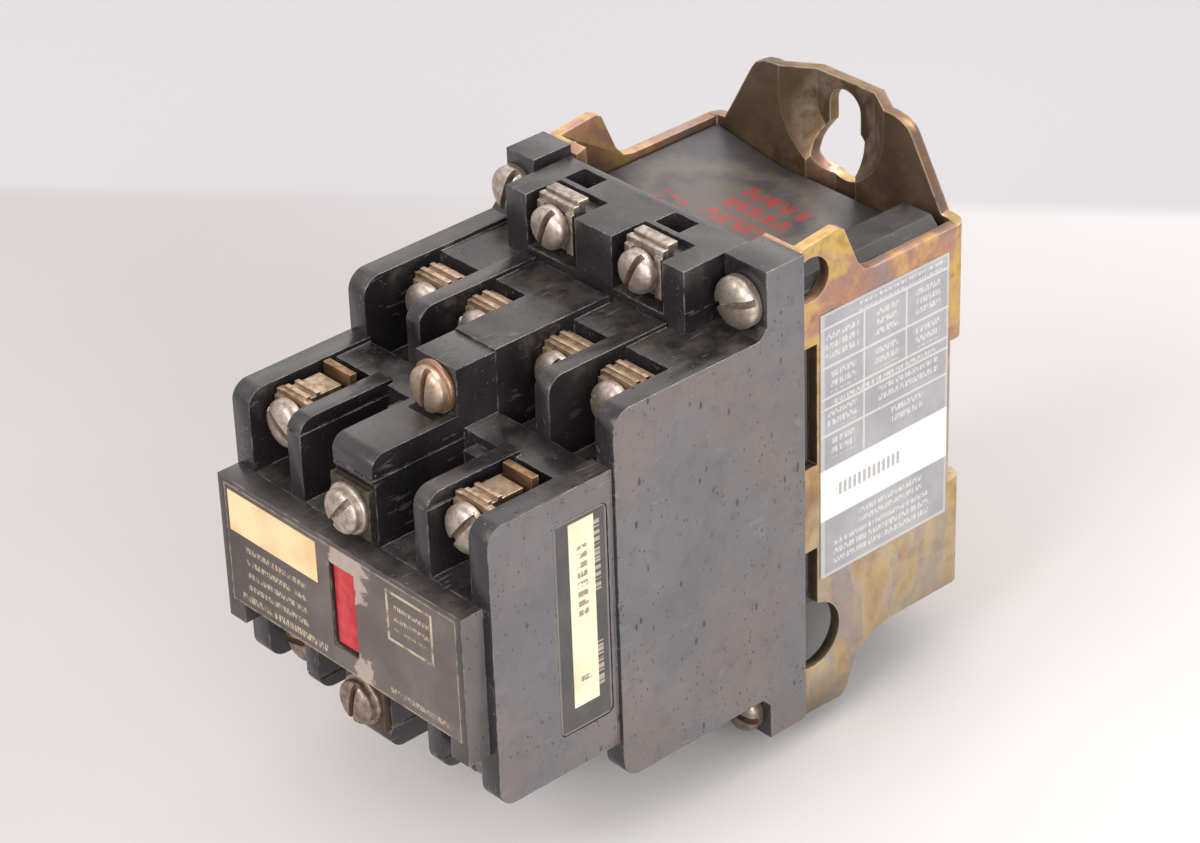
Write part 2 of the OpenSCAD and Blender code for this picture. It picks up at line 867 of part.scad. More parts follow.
module deck_rib_outline() {
    nose = 2.5;
    tip = deck_front - 0.5;
    square_to(rib_front, -deck_rib_z + nose, block_front, deck_rib_z - nose);
    square_to(tip + nose, -deck_rib_z, block_front, deck_rib_z);
    for (side = [-1, 1])
        translate([tip + nose, side * (deck_rib_z - nose)])
            circle(r = nose);
    square_to(tip, 21.9, tip + nose, deck_rib_z - nose);
    square_to(tip, -deck_rib_z + nose, tip + nose, -23.3);
    square_to(pad_front, -deck_pad_z, block_front, deck_pad_z);
}

// Fine moulding line round three sides of an upright wall
module seam(x0, x1, y0, y1, z) {
    deep = 0.25;
    difference() {
        box([x0 - 1, y0 - 1, z], [x1 + 1, y1, z + 0.3]);
        box([x0 + deep, y0 + deep, z - 1], [x1 - deep, y1 + 1, z + 1]);
    }
}

// Rectangle between two corners
module square_to(x0, y0, x1, y1) {
    translate([x0, y0])
        square([x1 - x0, y1 - y0]);
}

module deck_housing() {
    color(black)
        difference() {
            translate([0, 0, deck_mid_z])
                union() {
                    both_sides()
                        across(deck_in, deck_x)
                            rounded_front([deck_front, -deck_h / 2],
                                          [block_front, deck_h / 2], 3);
                    box([-deck_in - hair, deck_front, -deck_floor],
                        [deck_in + hair, block_front, deck_floor]);
                    box([-deck_in - hair, deck_recess, -deck_shelf],
                        [deck_in + hair, block_front, deck_shelf]);
                    both_sides()
                        across(barrier_in, barrier_out)
                            rounded_front([deck_front, -deck_h / 2],
                                          [deck_recess + 1, deck_h / 2], 3);
                    across(-rib_half, rib_half)
                        deck_rib_outline();
                    for (x = deck_poles)
                        top_and_bottom(0)
                            strip_seat(x, deck_face, deck_recess, deck_floor,
                                       deck_screw_z - foot_drop);
                    // empty inner pockets: only the moulded post stands in them
                    both_sides()
                        top_and_bottom(0)
                            box([pole_in - 1.6, deck_recess - 2.6, deck_floor - hair],
                                [pole_in + 1.6, deck_recess + hair, 22.6]);
                }
            box([-deck_cave_x, deck_front + 2.2, deck_mid_z - deck_chamber_z],
                [deck_cave_x, block_front + 1, deck_mid_z + deck_chamber_z]);
            // way through the front wall for the position indicator
            box([-window_x, deck_front - 1, window_low],
                [window_x, deck_front + 3, window_high]);
            box([-window_x - 0.3, deck_front + 2.2, window_low - 0.2],
                [window_x + 0.3, deck_front + 7.6, 0]);
            translate([0, 0, deck_mid_z])
                for (x = deck_poles)
                    top_and_bottom(0)
                        strip_slot(x, deck_leg_front, deck_chamber_z,
                                   deck_screw_z - foot_drop);
            for (z = pad_screw_z) {
                rod(0, z, shank_r + 0.2, pad_front - 1, block_front + 1);
                rod(0, z, 4.8, pad_front - 3.6, pad_front);
            }
            for (z = front_screw_z) {
                rod(0, z, shank_r, rib_front - 1, rib_front + 8);
                box([-rib_half - 1, rib_front - 3, z - 4.6], [rib_half + 1, rib_front, z + 4.6]);
            }
            // flat behind the nameplate cap
            box([-rib_half - 1, deck_front - 1, cap_low - 0.1],
                [rib_half + 1, deck_front, cap_top + 0.1]);
            for (z = [21.1, 2 * deck_mid_z - 21.4]) {
                seam(-rib_half, rib_half, deck_front - 0.5, deck_recess, z);
                seam(barrier_in, barrier_out, deck_front, deck_recess, z);
                seam(-barrier_out, -barrier_in, deck_front, deck_recess, z);
            }
            // recess for the side label
            across(deck_x - 0.4, deck_x + 1)
                side_label_outline(0);
        }
}

module side_label_outline(inset) {
    low = [-94 + inset, -19.7 + inset];
    high = [-83.2 - inset, 18.6 - inset];
    r = 1.2;
    square_to(low[0] + r, low[1], high[0] - r, high[1]);
    square_to(low[0], low[1] + r, high[0], high[1] - r);
    for (y = [low[0] + r, high[0] - r], z = [low[1] + r, high[1] - r])
        translate([y, z])
            circle(r = r);
}

module deck_side_label() {
    color([0.2, 0.19, 0.19])
        across(deck_x - 0.4, deck_x - 0.15)
            side_label_outline(0.15);
}

module deck_side_strip() {
    color([0.9, 0.84, 0.66])
        box([deck_x - 0.15, -91, -15.4], [deck_x - 0.02, -86, 17.6]);
}

module deck_terminal_strips() {
    color([0.75, 0.5, 0.32])
        translate([0, 0, deck_mid_z])
            for (x = deck_poles)
                top_and_bottom(0)
                    terminal_strip(x, deck_face, deck_leg_front, deck_contact_z,
                                   deck_screw_z, deck_h / 2 + 0.6);
}

module deck_clamp_plates() {
    color([0.85, 0.8, 0.68])
        translate([0, 0, deck_mid_z])
            for (x = deck_poles)
                top_and_bottom(0)
                    clamp_plate(x, deck_screw_z, deck_face, 6.2, 2.7);
}

module deck_terminal_screws() {
    color(nickel)
        for (i = [0:1])
            for (side = [-1, 1])
                slotted_screw(deck_poles[i], deck_mid_z + side * deck_screw_z,
                              deck_face - clamp_t - 0.5, screw_head_r, screw_head_h,
                              shank_r - 0.05, 5.5, 100 + 50 * i);
}

module deck_mounting_screws() {
    color([0.6, 0.45, 0.33])
        for (z = pad_screw_z)
            slotted_screw(0, z, pad_front, 4.4, 3, shank_r - 0.05, 15.8, z + 40);
}

module front_rib_clamps() {
    half = 4.55;
    color(nickel)
        for (z = front_screw_z)
            difference() {
                box([-half, rib_front - clamp_t, z - half], [half, rib_front, z + half]);
                rod(0, z, shank_r + 0.2, rib_front - 3, rib_front + 1);
            }
}

module front_rib_screws() {
    color(nickel)
        for (z = front_screw_z)
            slotted_screw(0, z, rib_front - clamp_t, 4.3, screw_head_h, shank_r - 0.05,
                          8.6, z + 60);
}

// ---- nameplate cap --------------------------------------------------------------------

module window_cut(y0, y1, grow) {
    box([-window_x - grow, y0, window_low - grow], [window_x + grow, y1, window_high + grow]);
}

module nameplate_cap() {
    half = cap_w / 2;
    color([0.17, 0.15, 0.14])
        difference() {
            translate([cap_shift, 0, 0])
                difference() {
                    union() {
                        box([-half, cap_front, cap_low], [half, deck_front, cap_top]);
                        both_sides()
                            box([half - 4, cap_front, leg_low], [half, deck_front, cap_low + 1]);
                    }
                    box([-half + cap_wall, cap_front + cap_wall, cap_low + cap_wall],
                        [half - cap_wall, deck_front + 1, cap_top - cap_wall]);
                    box([-half + 1.2, cap_front - 1, cap_low - 0.01],
                        [half - 1.2, cap_front + label_sink, cap_top - 0.8]);
                }
            window_cut(cap_front - 1, deck_front + 1, 0);
        }
}

module nameplate() {
    half = cap_w / 2 - 1.3;
    color([0.2, 0.18, 0.17])
        difference() {
            translate([cap_shift, 0, 0])
                box([-half, cap_front, cap_low + 0.1],
                    [half, cap_front + label_sink, cap_top - 0.9]);
            window_cut(cap_front - 1, cap_front + 1, 0.1);
        }
}

module paper_tag() {
    color([0.88, 0.68, 0.44])
        box([-27.7, cap_front - 0.12, 0], [-6, cap_front, 7.4]);
}

// ---- moving parts of the deck ------------------------------------------------------------

module deck_contact_carrier() {
    color([0.16, 0.13, 0.11]) {
        window_bar(deck_poles, deck_cave_x - 0.5, deck_beam_z, deck_mid_z,
                   deck_beam_front, deck_beam_back, deck_bridge_y);
        box([-stem_half, deck_beam_back - hair, deck_mid_z - deck_beam_z],
            [stem_half, block_front - 2, deck_mid_z + deck_beam_z]);
    }
}

module deck_contact_bridges() {
    color(brass)
        for (x = deck_poles)
            contact_bridge(x, deck_mid_z, deck_contact_z, deck_bridge_y - 0.02);
}

module deck_contact_springs() {
    color([0.7, 0.7, 0.68])
        for (x = deck_poles)
            spring(x, deck_mid_z, deck_beam_front + 0.92, deck_bridge_y - bridge_t - 0.04,
                   1.6, 0.22, 3, 12);
}

module position_indicator() {
    color([0.72, 0.06, 0.08])
        box([-window_x + 0.3, cap_front + 0.5, window_low + 0.3],
            [window_x - 0.3, deck_beam_front - 0.02, window_high - 0.3]);
}

// ---- assembly -----------------------------------------------------------------------------

mounting_bracket();
rating_label();
base_housing();
coil_block();
coil_winding();
coil_bobbin();
coil_terminal_block();
coil_terminal_strips();
coil_clamp_plates();
coil_terminal_screws();
magnet_side_blocks();
magnet_yoke();
shading_rings();
yoke_cushion();
block_mounting_screws();
base_terminal_strips();
base_clamp_plates();
base_terminal_screws();
return_springs();
armature();
armature_pin();
base_contact_carrier();
base_contact_bridges();
base_contact_springs();
deck_housing();
deck_terminal_strips();
deck_clamp_plates();
deck_terminal_screws();
deck_mounting_screws();
front_rib_clamps();
front_rib_screws();
nameplate_cap();
nameplate();
paper_tag();
deck_side_label();
deck_side_strip();
deck_contact_carrier();
deck_contact_bridges();
deck_contact_springs();
position_indicator();
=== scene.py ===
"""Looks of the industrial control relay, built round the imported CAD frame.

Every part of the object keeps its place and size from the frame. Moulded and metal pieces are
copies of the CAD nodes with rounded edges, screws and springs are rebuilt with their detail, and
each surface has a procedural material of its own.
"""
import json
import math

import bmesh
import bpy
from mathutils import Matrix, Quaternion, Vector


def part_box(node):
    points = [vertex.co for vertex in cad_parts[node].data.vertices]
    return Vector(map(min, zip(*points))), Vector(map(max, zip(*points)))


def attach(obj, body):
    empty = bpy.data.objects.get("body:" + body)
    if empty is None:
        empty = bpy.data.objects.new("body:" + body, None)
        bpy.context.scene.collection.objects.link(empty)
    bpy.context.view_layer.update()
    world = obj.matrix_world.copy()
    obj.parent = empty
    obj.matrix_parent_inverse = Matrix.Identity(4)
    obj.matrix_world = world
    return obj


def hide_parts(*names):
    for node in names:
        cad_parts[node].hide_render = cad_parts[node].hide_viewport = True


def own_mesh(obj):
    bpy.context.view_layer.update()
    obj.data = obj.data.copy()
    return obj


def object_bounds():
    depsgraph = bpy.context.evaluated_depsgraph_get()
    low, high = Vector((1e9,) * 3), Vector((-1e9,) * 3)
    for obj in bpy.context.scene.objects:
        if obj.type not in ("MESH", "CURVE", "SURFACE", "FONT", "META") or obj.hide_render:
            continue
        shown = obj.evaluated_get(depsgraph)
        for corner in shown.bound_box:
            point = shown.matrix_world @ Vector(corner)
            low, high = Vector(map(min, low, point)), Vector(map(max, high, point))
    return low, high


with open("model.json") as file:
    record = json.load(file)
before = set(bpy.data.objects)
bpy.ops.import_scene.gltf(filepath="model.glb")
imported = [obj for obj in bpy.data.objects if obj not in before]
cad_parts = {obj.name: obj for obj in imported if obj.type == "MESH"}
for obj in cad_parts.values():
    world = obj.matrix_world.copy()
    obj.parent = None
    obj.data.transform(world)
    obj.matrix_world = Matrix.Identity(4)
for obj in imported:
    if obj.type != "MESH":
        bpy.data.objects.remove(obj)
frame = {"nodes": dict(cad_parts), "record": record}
cad_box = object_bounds()

MM = 0.001
ROOT = "relay_body"
ARMATURE = "armature_assembly"
DECK = "deck_carrier_assembly"
SLOTS = {part["node"]: part["material_slot"] for part in frame["record"]["subparts"]}


# ---- node graphs for the materials ---------------------------------------------------------

class Graph:
    """A Principled material and short calls that add nodes to it."""

    def __init__(self, name, roughness=0.4, metallic=0.0, specular=0.5):
        self.material = bpy.data.materials.new(name)
        self.material.use_nodes = True
        self.tree = self.material.node_tree
        self.shader = self.tree.nodes["Principled BSDF"]
        self.shader.inputs["Roughness"].default_value = roughness
        self.shader.inputs["Metallic"].default_value = metallic
        self.shader.inputs["Specular IOR Level"].default_value = specular
        self.place = self.add("ShaderNodeTexCoord").outputs["Object"]
        self.geometry = self.add("ShaderNodeNewGeometry")

    def add(self, kind, **settings):
        node = self.tree.nodes.new(kind)
        for key, value in settings.items():
            setattr(node, key, value)
        return node

    def feed(self, socket, value):
        """Links an output, or sets a plain number, vector or colour, on an input socket."""
        if isinstance(value, bpy.types.NodeSocket):
            self.tree.links.new(value, socket)
        elif isinstance(value, (tuple, list)) and socket.type == "RGBA" and len(value) == 3:
            socket.default_value = (*value, 1.0)
        else:
            socket.default_value = value

    def math(self, operation, a, b=0.0, clamp=False):
        node = self.add("ShaderNodeMath", operation=operation, use_clamp=clamp)
        self.feed(node.inputs[0], a)
        self.feed(node.inputs[1], b)
        return node.outputs[0]

    def times(self, *values):
        result = values[0]
        for value in values[1:]:
            result = self.math("MULTIPLY", result, value)
        return result

    def inverse(self, value):
        return self.math("SUBTRACT", 1.0, value)

    def length(self, a, b):
        """Length of the flat vector (a, b)."""
        return self.math("SQRT", self.math("ADD", self.times(a, a), self.times(b, b)))

    def most(self, *values):
        result = values[0]
        for value in values[1:]:
            result = self.math("MAXIMUM", result, value)
        return result

    def band(self, value, low, high, start=0.0, end=1.0):
        """Smooth step of value from low to high, returned between start and end."""
        node = self.add("ShaderNodeMapRange", interpolation_type="SMOOTHSTEP")
        self.feed(node.inputs["Value"], value)
        node.inputs["From Min"].default_value = low
        node.inputs["From Max"].default_value = high
        node.inputs["To Min"].default_value = start
        node.inputs["To Max"].default_value = end
        return node.outputs["Result"]

    def spread(self, value, low, high, start, end):
        """Linear map of value from low..high to start..end."""
        node = self.add("ShaderNodeMapRange")
        self.feed(node.inputs["Value"], value)
        node.inputs["From Min"].default_value = low
        node.inputs["From Max"].default_value = high
        node.inputs["To Min"].default_value = start
        node.inputs["To Max"].default_value = end
        return node.outputs["Result"]

    def mapped(self, stretch=(1, 1, 1), shift=(0, 0, 0), turn=(0, 0, 0)):
        node = self.add("ShaderNodeMapping")
        self.feed(node.inputs["Vector"], self.place)
        node.inputs["Location"].default_value = shift
        node.inputs["Rotation"].default_value = turn
        node.inputs["Scale"].default_value = stretch
        return node.outputs["Vector"]

    def noise(self, size_mm, detail=4.0, rough=0.55, stretch=(1, 1, 1), shift=(0, 0, 0), bend=0.0):
        """Noise whose blobs are about size_mm across; the result runs from 0 to 1."""
        node = self.add("ShaderNodeTexNoise")
        self.feed(node.inputs["Vector"], self.mapped(stretch, shift))
        node.inputs["Scale"].default_value = 1.0 / (size_mm * MM)
        node.inputs["Detail"].default_value = detail
        node.inputs["Roughness"].default_value = rough
        node.inputs["Distortion"].default_value = bend
        return node.outputs["Fac"]

    def cells(self, size_mm, stretch=(1, 1, 1), shift=(0, 0, 0), turn=(0, 0, 0)):
        """Distance to scattered points about size_mm apart."""
        node = self.add("ShaderNodeTexVoronoi")
        self.feed(node.inputs["Vector"], self.mapped(stretch, shift, turn))
        node.inputs["Scale"].default_value = 1.0 / (size_mm * MM)
        return node.outputs["Distance"]

    def blend(self, factor, a, b):
        """Colour a where factor is 0, b where it is 1."""
        node = self.add("ShaderNodeMix", data_type="RGBA", blend_type="MIX")
        self.feed(node.inputs["Factor"], factor)
        self.feed(node.inputs[6], a)
        self.feed(node.inputs[7], b)
        return node.outputs[2]

    def ramp(self, value, *stops):
        """Colour ramp; each stop is (position, colour)."""
        node = self.add("ShaderNodeValToRGB")
        self.feed(node.inputs["Fac"], value)
        elements = node.color_ramp.elements
        while len(elements) < len(stops):
            elements.new(0.5)
        for element, (position, colour) in zip(elements, stops):
            element.position = position
            element.color = (*colour, 1.0)
        return node.outputs["Color"]

    def axis(self, which):
        """X, Y or Z of the surface point in the shared frame, in millimetres."""
        split = self.add("ShaderNodeSeparateXYZ")
        self.feed(split.inputs[0], self.place)
        return self.math("MULTIPLY", split.outputs["XYZ".index(which)], 1.0 / MM)

    def facing(self, which):
        """How much the surface faces +X, +Y or +Z, from -1 to 1."""
        split = self.add("ShaderNodeSeparateXYZ")
        self.feed(split.inputs[0], self.geometry.outputs["Normal"])
        return split.outputs["XYZ".index(which)]

    def edges(self, radius_mm):
        """1 along sharp edges and corners, 0 on flat ground."""
        bevel = self.add("ShaderNodeBevel", samples=4)
        bevel.inputs["Radius"].default_value = radius_mm * MM
        dot = self.add("ShaderNodeVectorMath", operation="DOT_PRODUCT")
        self.feed(dot.inputs[0], bevel.outputs["Normal"])
        self.feed(dot.inputs[1], self.geometry.outputs["Normal"])
        return self.band(dot.outputs["Value"], 0.995, 0.90)

    def corners(self, distance_mm):
        """1 deep in corners and pockets, 0 in the open."""
        node = self.add("ShaderNodeAmbientOcclusion", samples=6)
        node.inputs["Distance"].default_value = distance_mm * MM
        return self.inverse(node.outputs["AO"])

    def within(self, value, low, high, soft=0.04):
        """1 where value lies between low and high, with soft edges."""
        rise = self.spread(value, low - soft, low + soft, 0.0, 1.0)
        fall = self.spread(value, high - soft, high + soft, 1.0, 0.0)
        return self.times(rise, fall)

    def print_rows(self, u, v, pitch, height, letter, shift=0.0):
        """Rows of short dashes that stand in for small print."""
        row = self.math("PINGPONG", self.math("ADD", v, 500.0 * pitch), pitch / 2)
        line = self.band(row, height / 2 + 0.05, height / 2 - 0.05)
        across = self.add("ShaderNodeCombineXYZ")
        self.feed(across.inputs[0], self.math("MULTIPLY", u, 1.0 / letter))
        self.feed(across.inputs[1], self.math("FLOOR", self.math("DIVIDE", v, pitch)))
        across.inputs[2].default_value = shift
        noise = self.add("ShaderNodeTexNoise", noise_dimensions="3D")
        self.feed(noise.inputs["Vector"], across.outputs[0])
        noise.inputs["Scale"].default_value = 1.0
        noise.inputs["Detail"].default_value = 1.0
        dash = self.band(noise.outputs["Fac"], 0.47, 0.52)
        return self.times(line, dash)

    def relief(self, *layers):
        """Bump from (height, depth in mm) layers, one on top of the other."""
        below = None
        for height, depth_mm in layers:
            node = self.add("ShaderNodeBump")
            node.inputs["Strength"].default_value = 1.0
            node.inputs["Distance"].default_value = depth_mm * MM
            self.feed(node.inputs["Height"], height)
            if below is not None:
                self.feed(node.inputs["Normal"], below)
            below = node.outputs["Normal"]
        self.feed(self.shader.inputs["Normal"], below)

    def finish(self, colour, roughness=None):
        self.feed(self.shader.inputs["Base Color"], colour)
        if roughness is not None:
            self.feed(self.shader.inputs["Roughness"], roughness)
        return self.material


# ---- materials -----------------------------------------------------------------------------

DUST = (0.20, 0.165, 0.13)
WORN_EDGE = (0.34, 0.31, 0.30)
PAINTED_GLINT = (0.46, 0.43, 0.42)
PANEL_BROWN = (0.172, 0.143, 0.134)
PANEL_BLUE = (0.142, 0.136, 0.144)
STAMP_RED = (0.46, 0.050, 0.040)
PRINT_GOLD = (0.46, 0.37, 0.24)
PRINT_WHITE = (0.66, 0.65, 0.62)
NICKEL = (0.56, 0.48, 0.42)
DULL_NICKEL = (0.33, 0.265, 0.22)
RUST = (0.12, 0.065, 0.035)

# millimetres
WASHER_HEAD = 3.0
WASHER_THICK = 0.9
SCREW_HEAD = 2.8
BLOCK_SCREW_HEAD = 3.0
SHANK_RADIUS = 1.85
SLOT_WIDTH = 1.15
SCREW_ROUNDING = 0.12
KEYHOLE_HEIGHT = 41.5
STAMP_INSET = 21.0
LAMINATION = 0.6
WINDING_PITCH = 0.32
PLATE_PITCH = 2.35
RATING_PITCH = 1.75


def phenolic(name, base=(0.011, 0.0095, 0.0105), cloud=(0.020, 0.017, 0.018), dusty=1.0,
             gloss=0.22, fade_and_sheen=0.80):
    """Black phenolic moulding: satin, pitted, dusty in its corners; a fade and painted sheen on its
    outer sides, painted highlights on its edges.
    """
    g = Graph(name, specular=0.6)
    clouds = g.noise(14, 5, 0.6)
    fine_clouds = g.noise(3.2, 5, 0.65, shift=(7, 3, 9))
    grain = g.noise(0.35, 3, 0.7)
    colour = g.blend(g.band(clouds, 0.35, 0.7), base, cloud)
    # Outer side panels: a lighter fade, which also stands in for the sheen of light on them
    # (painted sheen).
    outward = g.times(g.axis("X"), g.facing("X"))
    sideways = g.band(g.math("ABSOLUTE", g.facing("X")), 0.35, 0.9)
    side = g.times(sideways, g.band(outward, 24.0, 27.5))
    faded_sheen_clouds = g.spread(clouds, 0.3, 0.7, 0.80, 1.0)
    faded_sheen_tone = g.blend(g.band(g.noise(22, 4, 0.6, shift=(2, 6, 1)), 0.42, 0.62),
                   PANEL_BROWN, PANEL_BLUE)
    colour = g.blend(g.times(side, faded_sheen_clouds, fade_and_sheen), colour, faded_sheen_tone)
    mottle = g.band(fine_clouds, 0.50, 0.68)
    colour = g.blend(g.times(side, mottle, 0.30), colour, (0.060, 0.054, 0.056))
    streaks = g.times(g.band(g.cells(1.7, (1, 1.0, 0.42), turn=(0.55, 0, 0)), 0.22, 0.12),
                      g.band(g.noise(7, 3, 0.55, shift=(4, 1, 2)), 0.52, 0.60))
    pit_cells = g.cells(0.9, (1, 1.0, 0.6), shift=(3, 8, 1), turn=(0.4, 0, 0))
    pits = g.times(g.band(pit_cells, 0.20, 0.12),
                   g.band(g.noise(5, 3, 0.5, shift=(9, 1, 6)), 0.44, 0.56))
    marks = g.most(streaks, pits)
    colour = g.blend(g.times(marks, 0.80), colour, (0.012, 0.014, 0.022))
    specks = g.times(g.band(g.cells(1.9, shift=(9, 3, 5)), 0.085, 0.05),
                     g.band(g.noise(9, 2, 0.5, shift=(1, 7, 2)), 0.50, 0.60))
    colour = g.blend(g.times(specks, 0.6), colour, (0.30, 0.28, 0.26))
    up = g.band(g.facing("Z"), 0.3, 0.95)
    film = g.times(up, g.band(g.noise(6, 5, 0.65, shift=(3, 3, 8)), 0.38, 0.72), 0.24 * dusty)
    corner = g.times(g.band(g.corners(5.0), 0.45, 0.95),
                     g.band(g.noise(2.2, 4, 0.6, shift=(2, 5, 1)), 0.42, 0.72), 0.20 * dusty)
    dust = g.most(film, corner)
    colour = g.blend(dust, colour, DUST)
    edge = g.edges(0.35)
    rub = g.times(edge, g.band(g.noise(3.0, 4, 0.65, shift=(6, 2, 3)), 0.44, 0.66))
    colour = g.blend(g.times(rub, 0.60), colour, WORN_EDGE)
    # Painted highlight: pale glints along the edges between top and side faces.
    ridge = g.band(g.times(g.facing("X"), g.facing("Z")), 0.30, 0.46)
    painted_glint = g.times(ridge, edge, g.band(g.noise(6.0, 3, 0.6, shift=(3, 9, 2)), 0.38, 0.56))
    colour = g.blend(g.times(painted_glint, 0.75), colour, PAINTED_GLINT)
    lines = g.noise(0.5, 2, 0.5, stretch=(1, 0.12, 0.5), shift=(5, 5, 5))
    scratch = g.times(g.band(lines, 0.62, 0.68),
                      g.band(g.noise(10, 2, 0.5, shift=(8, 1, 1)), 0.5, 0.62))
    colour = g.blend(g.times(scratch, 0.25), colour, (0.22, 0.20, 0.19))
    rough = g.spread(clouds, 0.3, 0.75, gloss, gloss + 0.15)
    rough = g.math("ADD", rough, g.times(dust, 0.6))
    rough = g.math("ADD", rough, g.times(scratch, 0.12))
    rough = g.times(rough, g.spread(edge, 0.0, 1.0, 1.0, 0.40))
    block_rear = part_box("base_housing")[1].y / MM
    dull_behind = g.band(g.axis("Y"), block_rear, block_rear + 0.5, 0.0, 0.35)
    rough = g.math("ADD", rough, dull_behind)
    g.relief((g.noise(5, 3, 0.5), 0.05), (grain, 0.012), (g.inverse(marks), 0.06))
    return g.finish(colour, rough)


def chromated_steel(name):
    """Zinc plate with yellow chromate: gold and pink clouds, banded low down, and painted shade in
    dark brown within the bracket, on its rear plate and on its ear.
    """
    g = Graph(name, metallic=0.85, roughness=0.4)
    big = g.noise(16, 3, 0.55, bend=0.6)
    fine = g.noise(5, 5, 0.6, shift=(3, 1, 4), bend=0.4)
    mixed = g.math("ADD", g.times(big, 0.64), g.times(fine, 0.36))
    hue = g.ramp(mixed, (0.30, (0.20, 0.12, 0.055)), (0.39, (0.46, 0.25, 0.075)),
                 (0.45, (0.60, 0.42, 0.13)), (0.50, (0.56, 0.36, 0.16)),
                 (0.55, (0.44, 0.23, 0.16)), (0.62, (0.30, 0.24, 0.23)),
                 (0.72, (0.52, 0.38, 0.15)))
    low_down = g.times(g.band(g.axis("Z"), 22.0, -8.0), g.spread(fine, 0.3, 0.7, 0.7, 1.0))
    bands = g.ramp(g.noise(9, 3, 0.5, stretch=(1, 1, 0.45), shift=(1, 4, 3), bend=0.5),
                   (0.34, (0.26, 0.17, 0.09)), (0.43, (0.47, 0.36, 0.20)),
                   (0.50, (0.50, 0.42, 0.31)), (0.56, (0.33, 0.32, 0.32)),
                   (0.64, (0.48, 0.38, 0.24)), (0.74, (0.30, 0.20, 0.11)))
    hue = g.blend(g.times(low_down, 0.85), hue, bands)
    # Painted shade: dark brown within the bracket and on the front of its rear plate, where shade
    # falls.
    shaded_inside = g.band(g.corners(30.0), 0.30, 0.66)
    front = g.band(g.facing("Y"), -0.5, -0.95)
    rear_plate = g.times(front, g.band(g.axis("Y"), -9.0, -7.0))
    dark = g.most(shaded_inside, rear_plate)
    brown = g.blend(g.band(g.noise(4, 5, 0.65, shift=(5, 5, 2)), 0.38, 0.66),
                    (0.040, 0.024, 0.014), (0.105, 0.066, 0.038))
    colour = g.blend(g.times(dark, 0.90), hue, brown)
    # Painted shade: the ear darkened where shade falls on it beside the coil.
    ear = g.times(g.band(g.axis("Z"), 33.0, 36.0), g.band(g.axis("Y"), -12.0, -8.0))
    colour = g.blend(g.times(ear, 0.72), colour, (0.085, 0.058, 0.036))
    grime = g.band(g.noise(2.4, 6, 0.7, shift=(2, 9, 4)), 0.50, 0.72)
    grime_share = g.spread(low_down, 0.0, 1.0, 0.42, 0.16)
    colour = g.blend(g.times(grime, grime_share), colour, (0.15, 0.095, 0.055))
    ring_x, ring_z = g.axis("X"), g.math("SUBTRACT", g.axis("Z"), KEYHOLE_HEIGHT)
    washer = g.times(g.within(g.length(ring_x, ring_z), 5.5, 9.6, 0.7), front,
                     g.band(g.axis("Y"), -7.0, -4.0))
    colour = g.blend(g.times(washer, g.band(fine, 0.35, 0.6), 0.45), colour, (0.33, 0.26, 0.20))
    rub = g.times(g.edges(0.5), g.band(g.noise(2.5, 3, 0.6, shift=(7, 7, 1)), 0.3, 0.6))
    colour = g.blend(g.times(rub, 0.6), colour, (0.66, 0.55, 0.42))
    rough = g.spread(fine, 0.3, 0.7, 0.30, 0.46)
    rough = g.math("ADD", rough, g.times(g.most(grime, dark), 0.25))
    g.relief((fine, 0.02), (g.noise(0.5, 3, 0.6), 0.008))
    return g.finish(colour, rough)


def aged_metal(name, base, tarnish, rust, rust_amount=0.5, gloss=0.28, washers_of=None):
    """Plated metal gone dull: bright on its edges, tarnished on flats, rusty in its corners.

    washers_of names a node of washer screws, whose washers are rustier than their heads.
    """
    g = Graph(name, metallic=1.0)
    tone = g.noise(1.3, 4, 0.6)
    colour = g.blend(g.band(tone, 0.36, 0.66), base, tarnish)
    corner = g.band(g.corners(1.6), 0.22, 0.70)
    spots = g.band(g.noise(0.7, 5, 0.7, shift=(3, 8, 1)), 0.54, 0.68)
    rusty = g.times(g.most(corner, spots), rust_amount)
    colour = g.blend(rusty, colour, rust)
    if washers_of is not None:
        washer_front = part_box(washers_of)[0].y / MM + WASHER_HEAD - WASHER_THICK
        washer = g.band(g.axis("Y"), washer_front - 0.15, washer_front - 0.05)
        colour = g.blend(g.times(washer, 0.75), colour, (0.26, 0.135, 0.070))
    rub = g.times(g.edges(0.18), g.band(g.noise(1.0, 3, 0.6, shift=(1, 4, 9)), 0.35, 0.6))
    colour = g.blend(g.times(rub, 0.6), colour, tuple(min(1.0, 1.35 * c) for c in base))
    metal = g.spread(rusty, 0.0, 1.0, 1.0, 0.25)
    g.feed(g.shader.inputs["Metallic"], metal)
    # Painted shade: darker and browner low down, where the lower screws sit in shade.
    below = g.times(g.band(g.axis("Z"), -9.0, -14.0), g.spread(tone, 0.3, 0.7, 0.45, 0.75))
    colour = g.blend(below, colour, (0.15, 0.095, 0.062))
    rough = g.spread(tone, 0.3, 0.7, gloss + 0.08, gloss + 0.26)
    rough = g.math("ADD", rough, g.times(rusty, 0.35))
    g.relief((g.noise(0.6, 4, 0.6, shift=(1, 1, 4)), 0.018), (g.noise(0.16, 2, 0.6), 0.006))
    return g.finish(colour, rough)


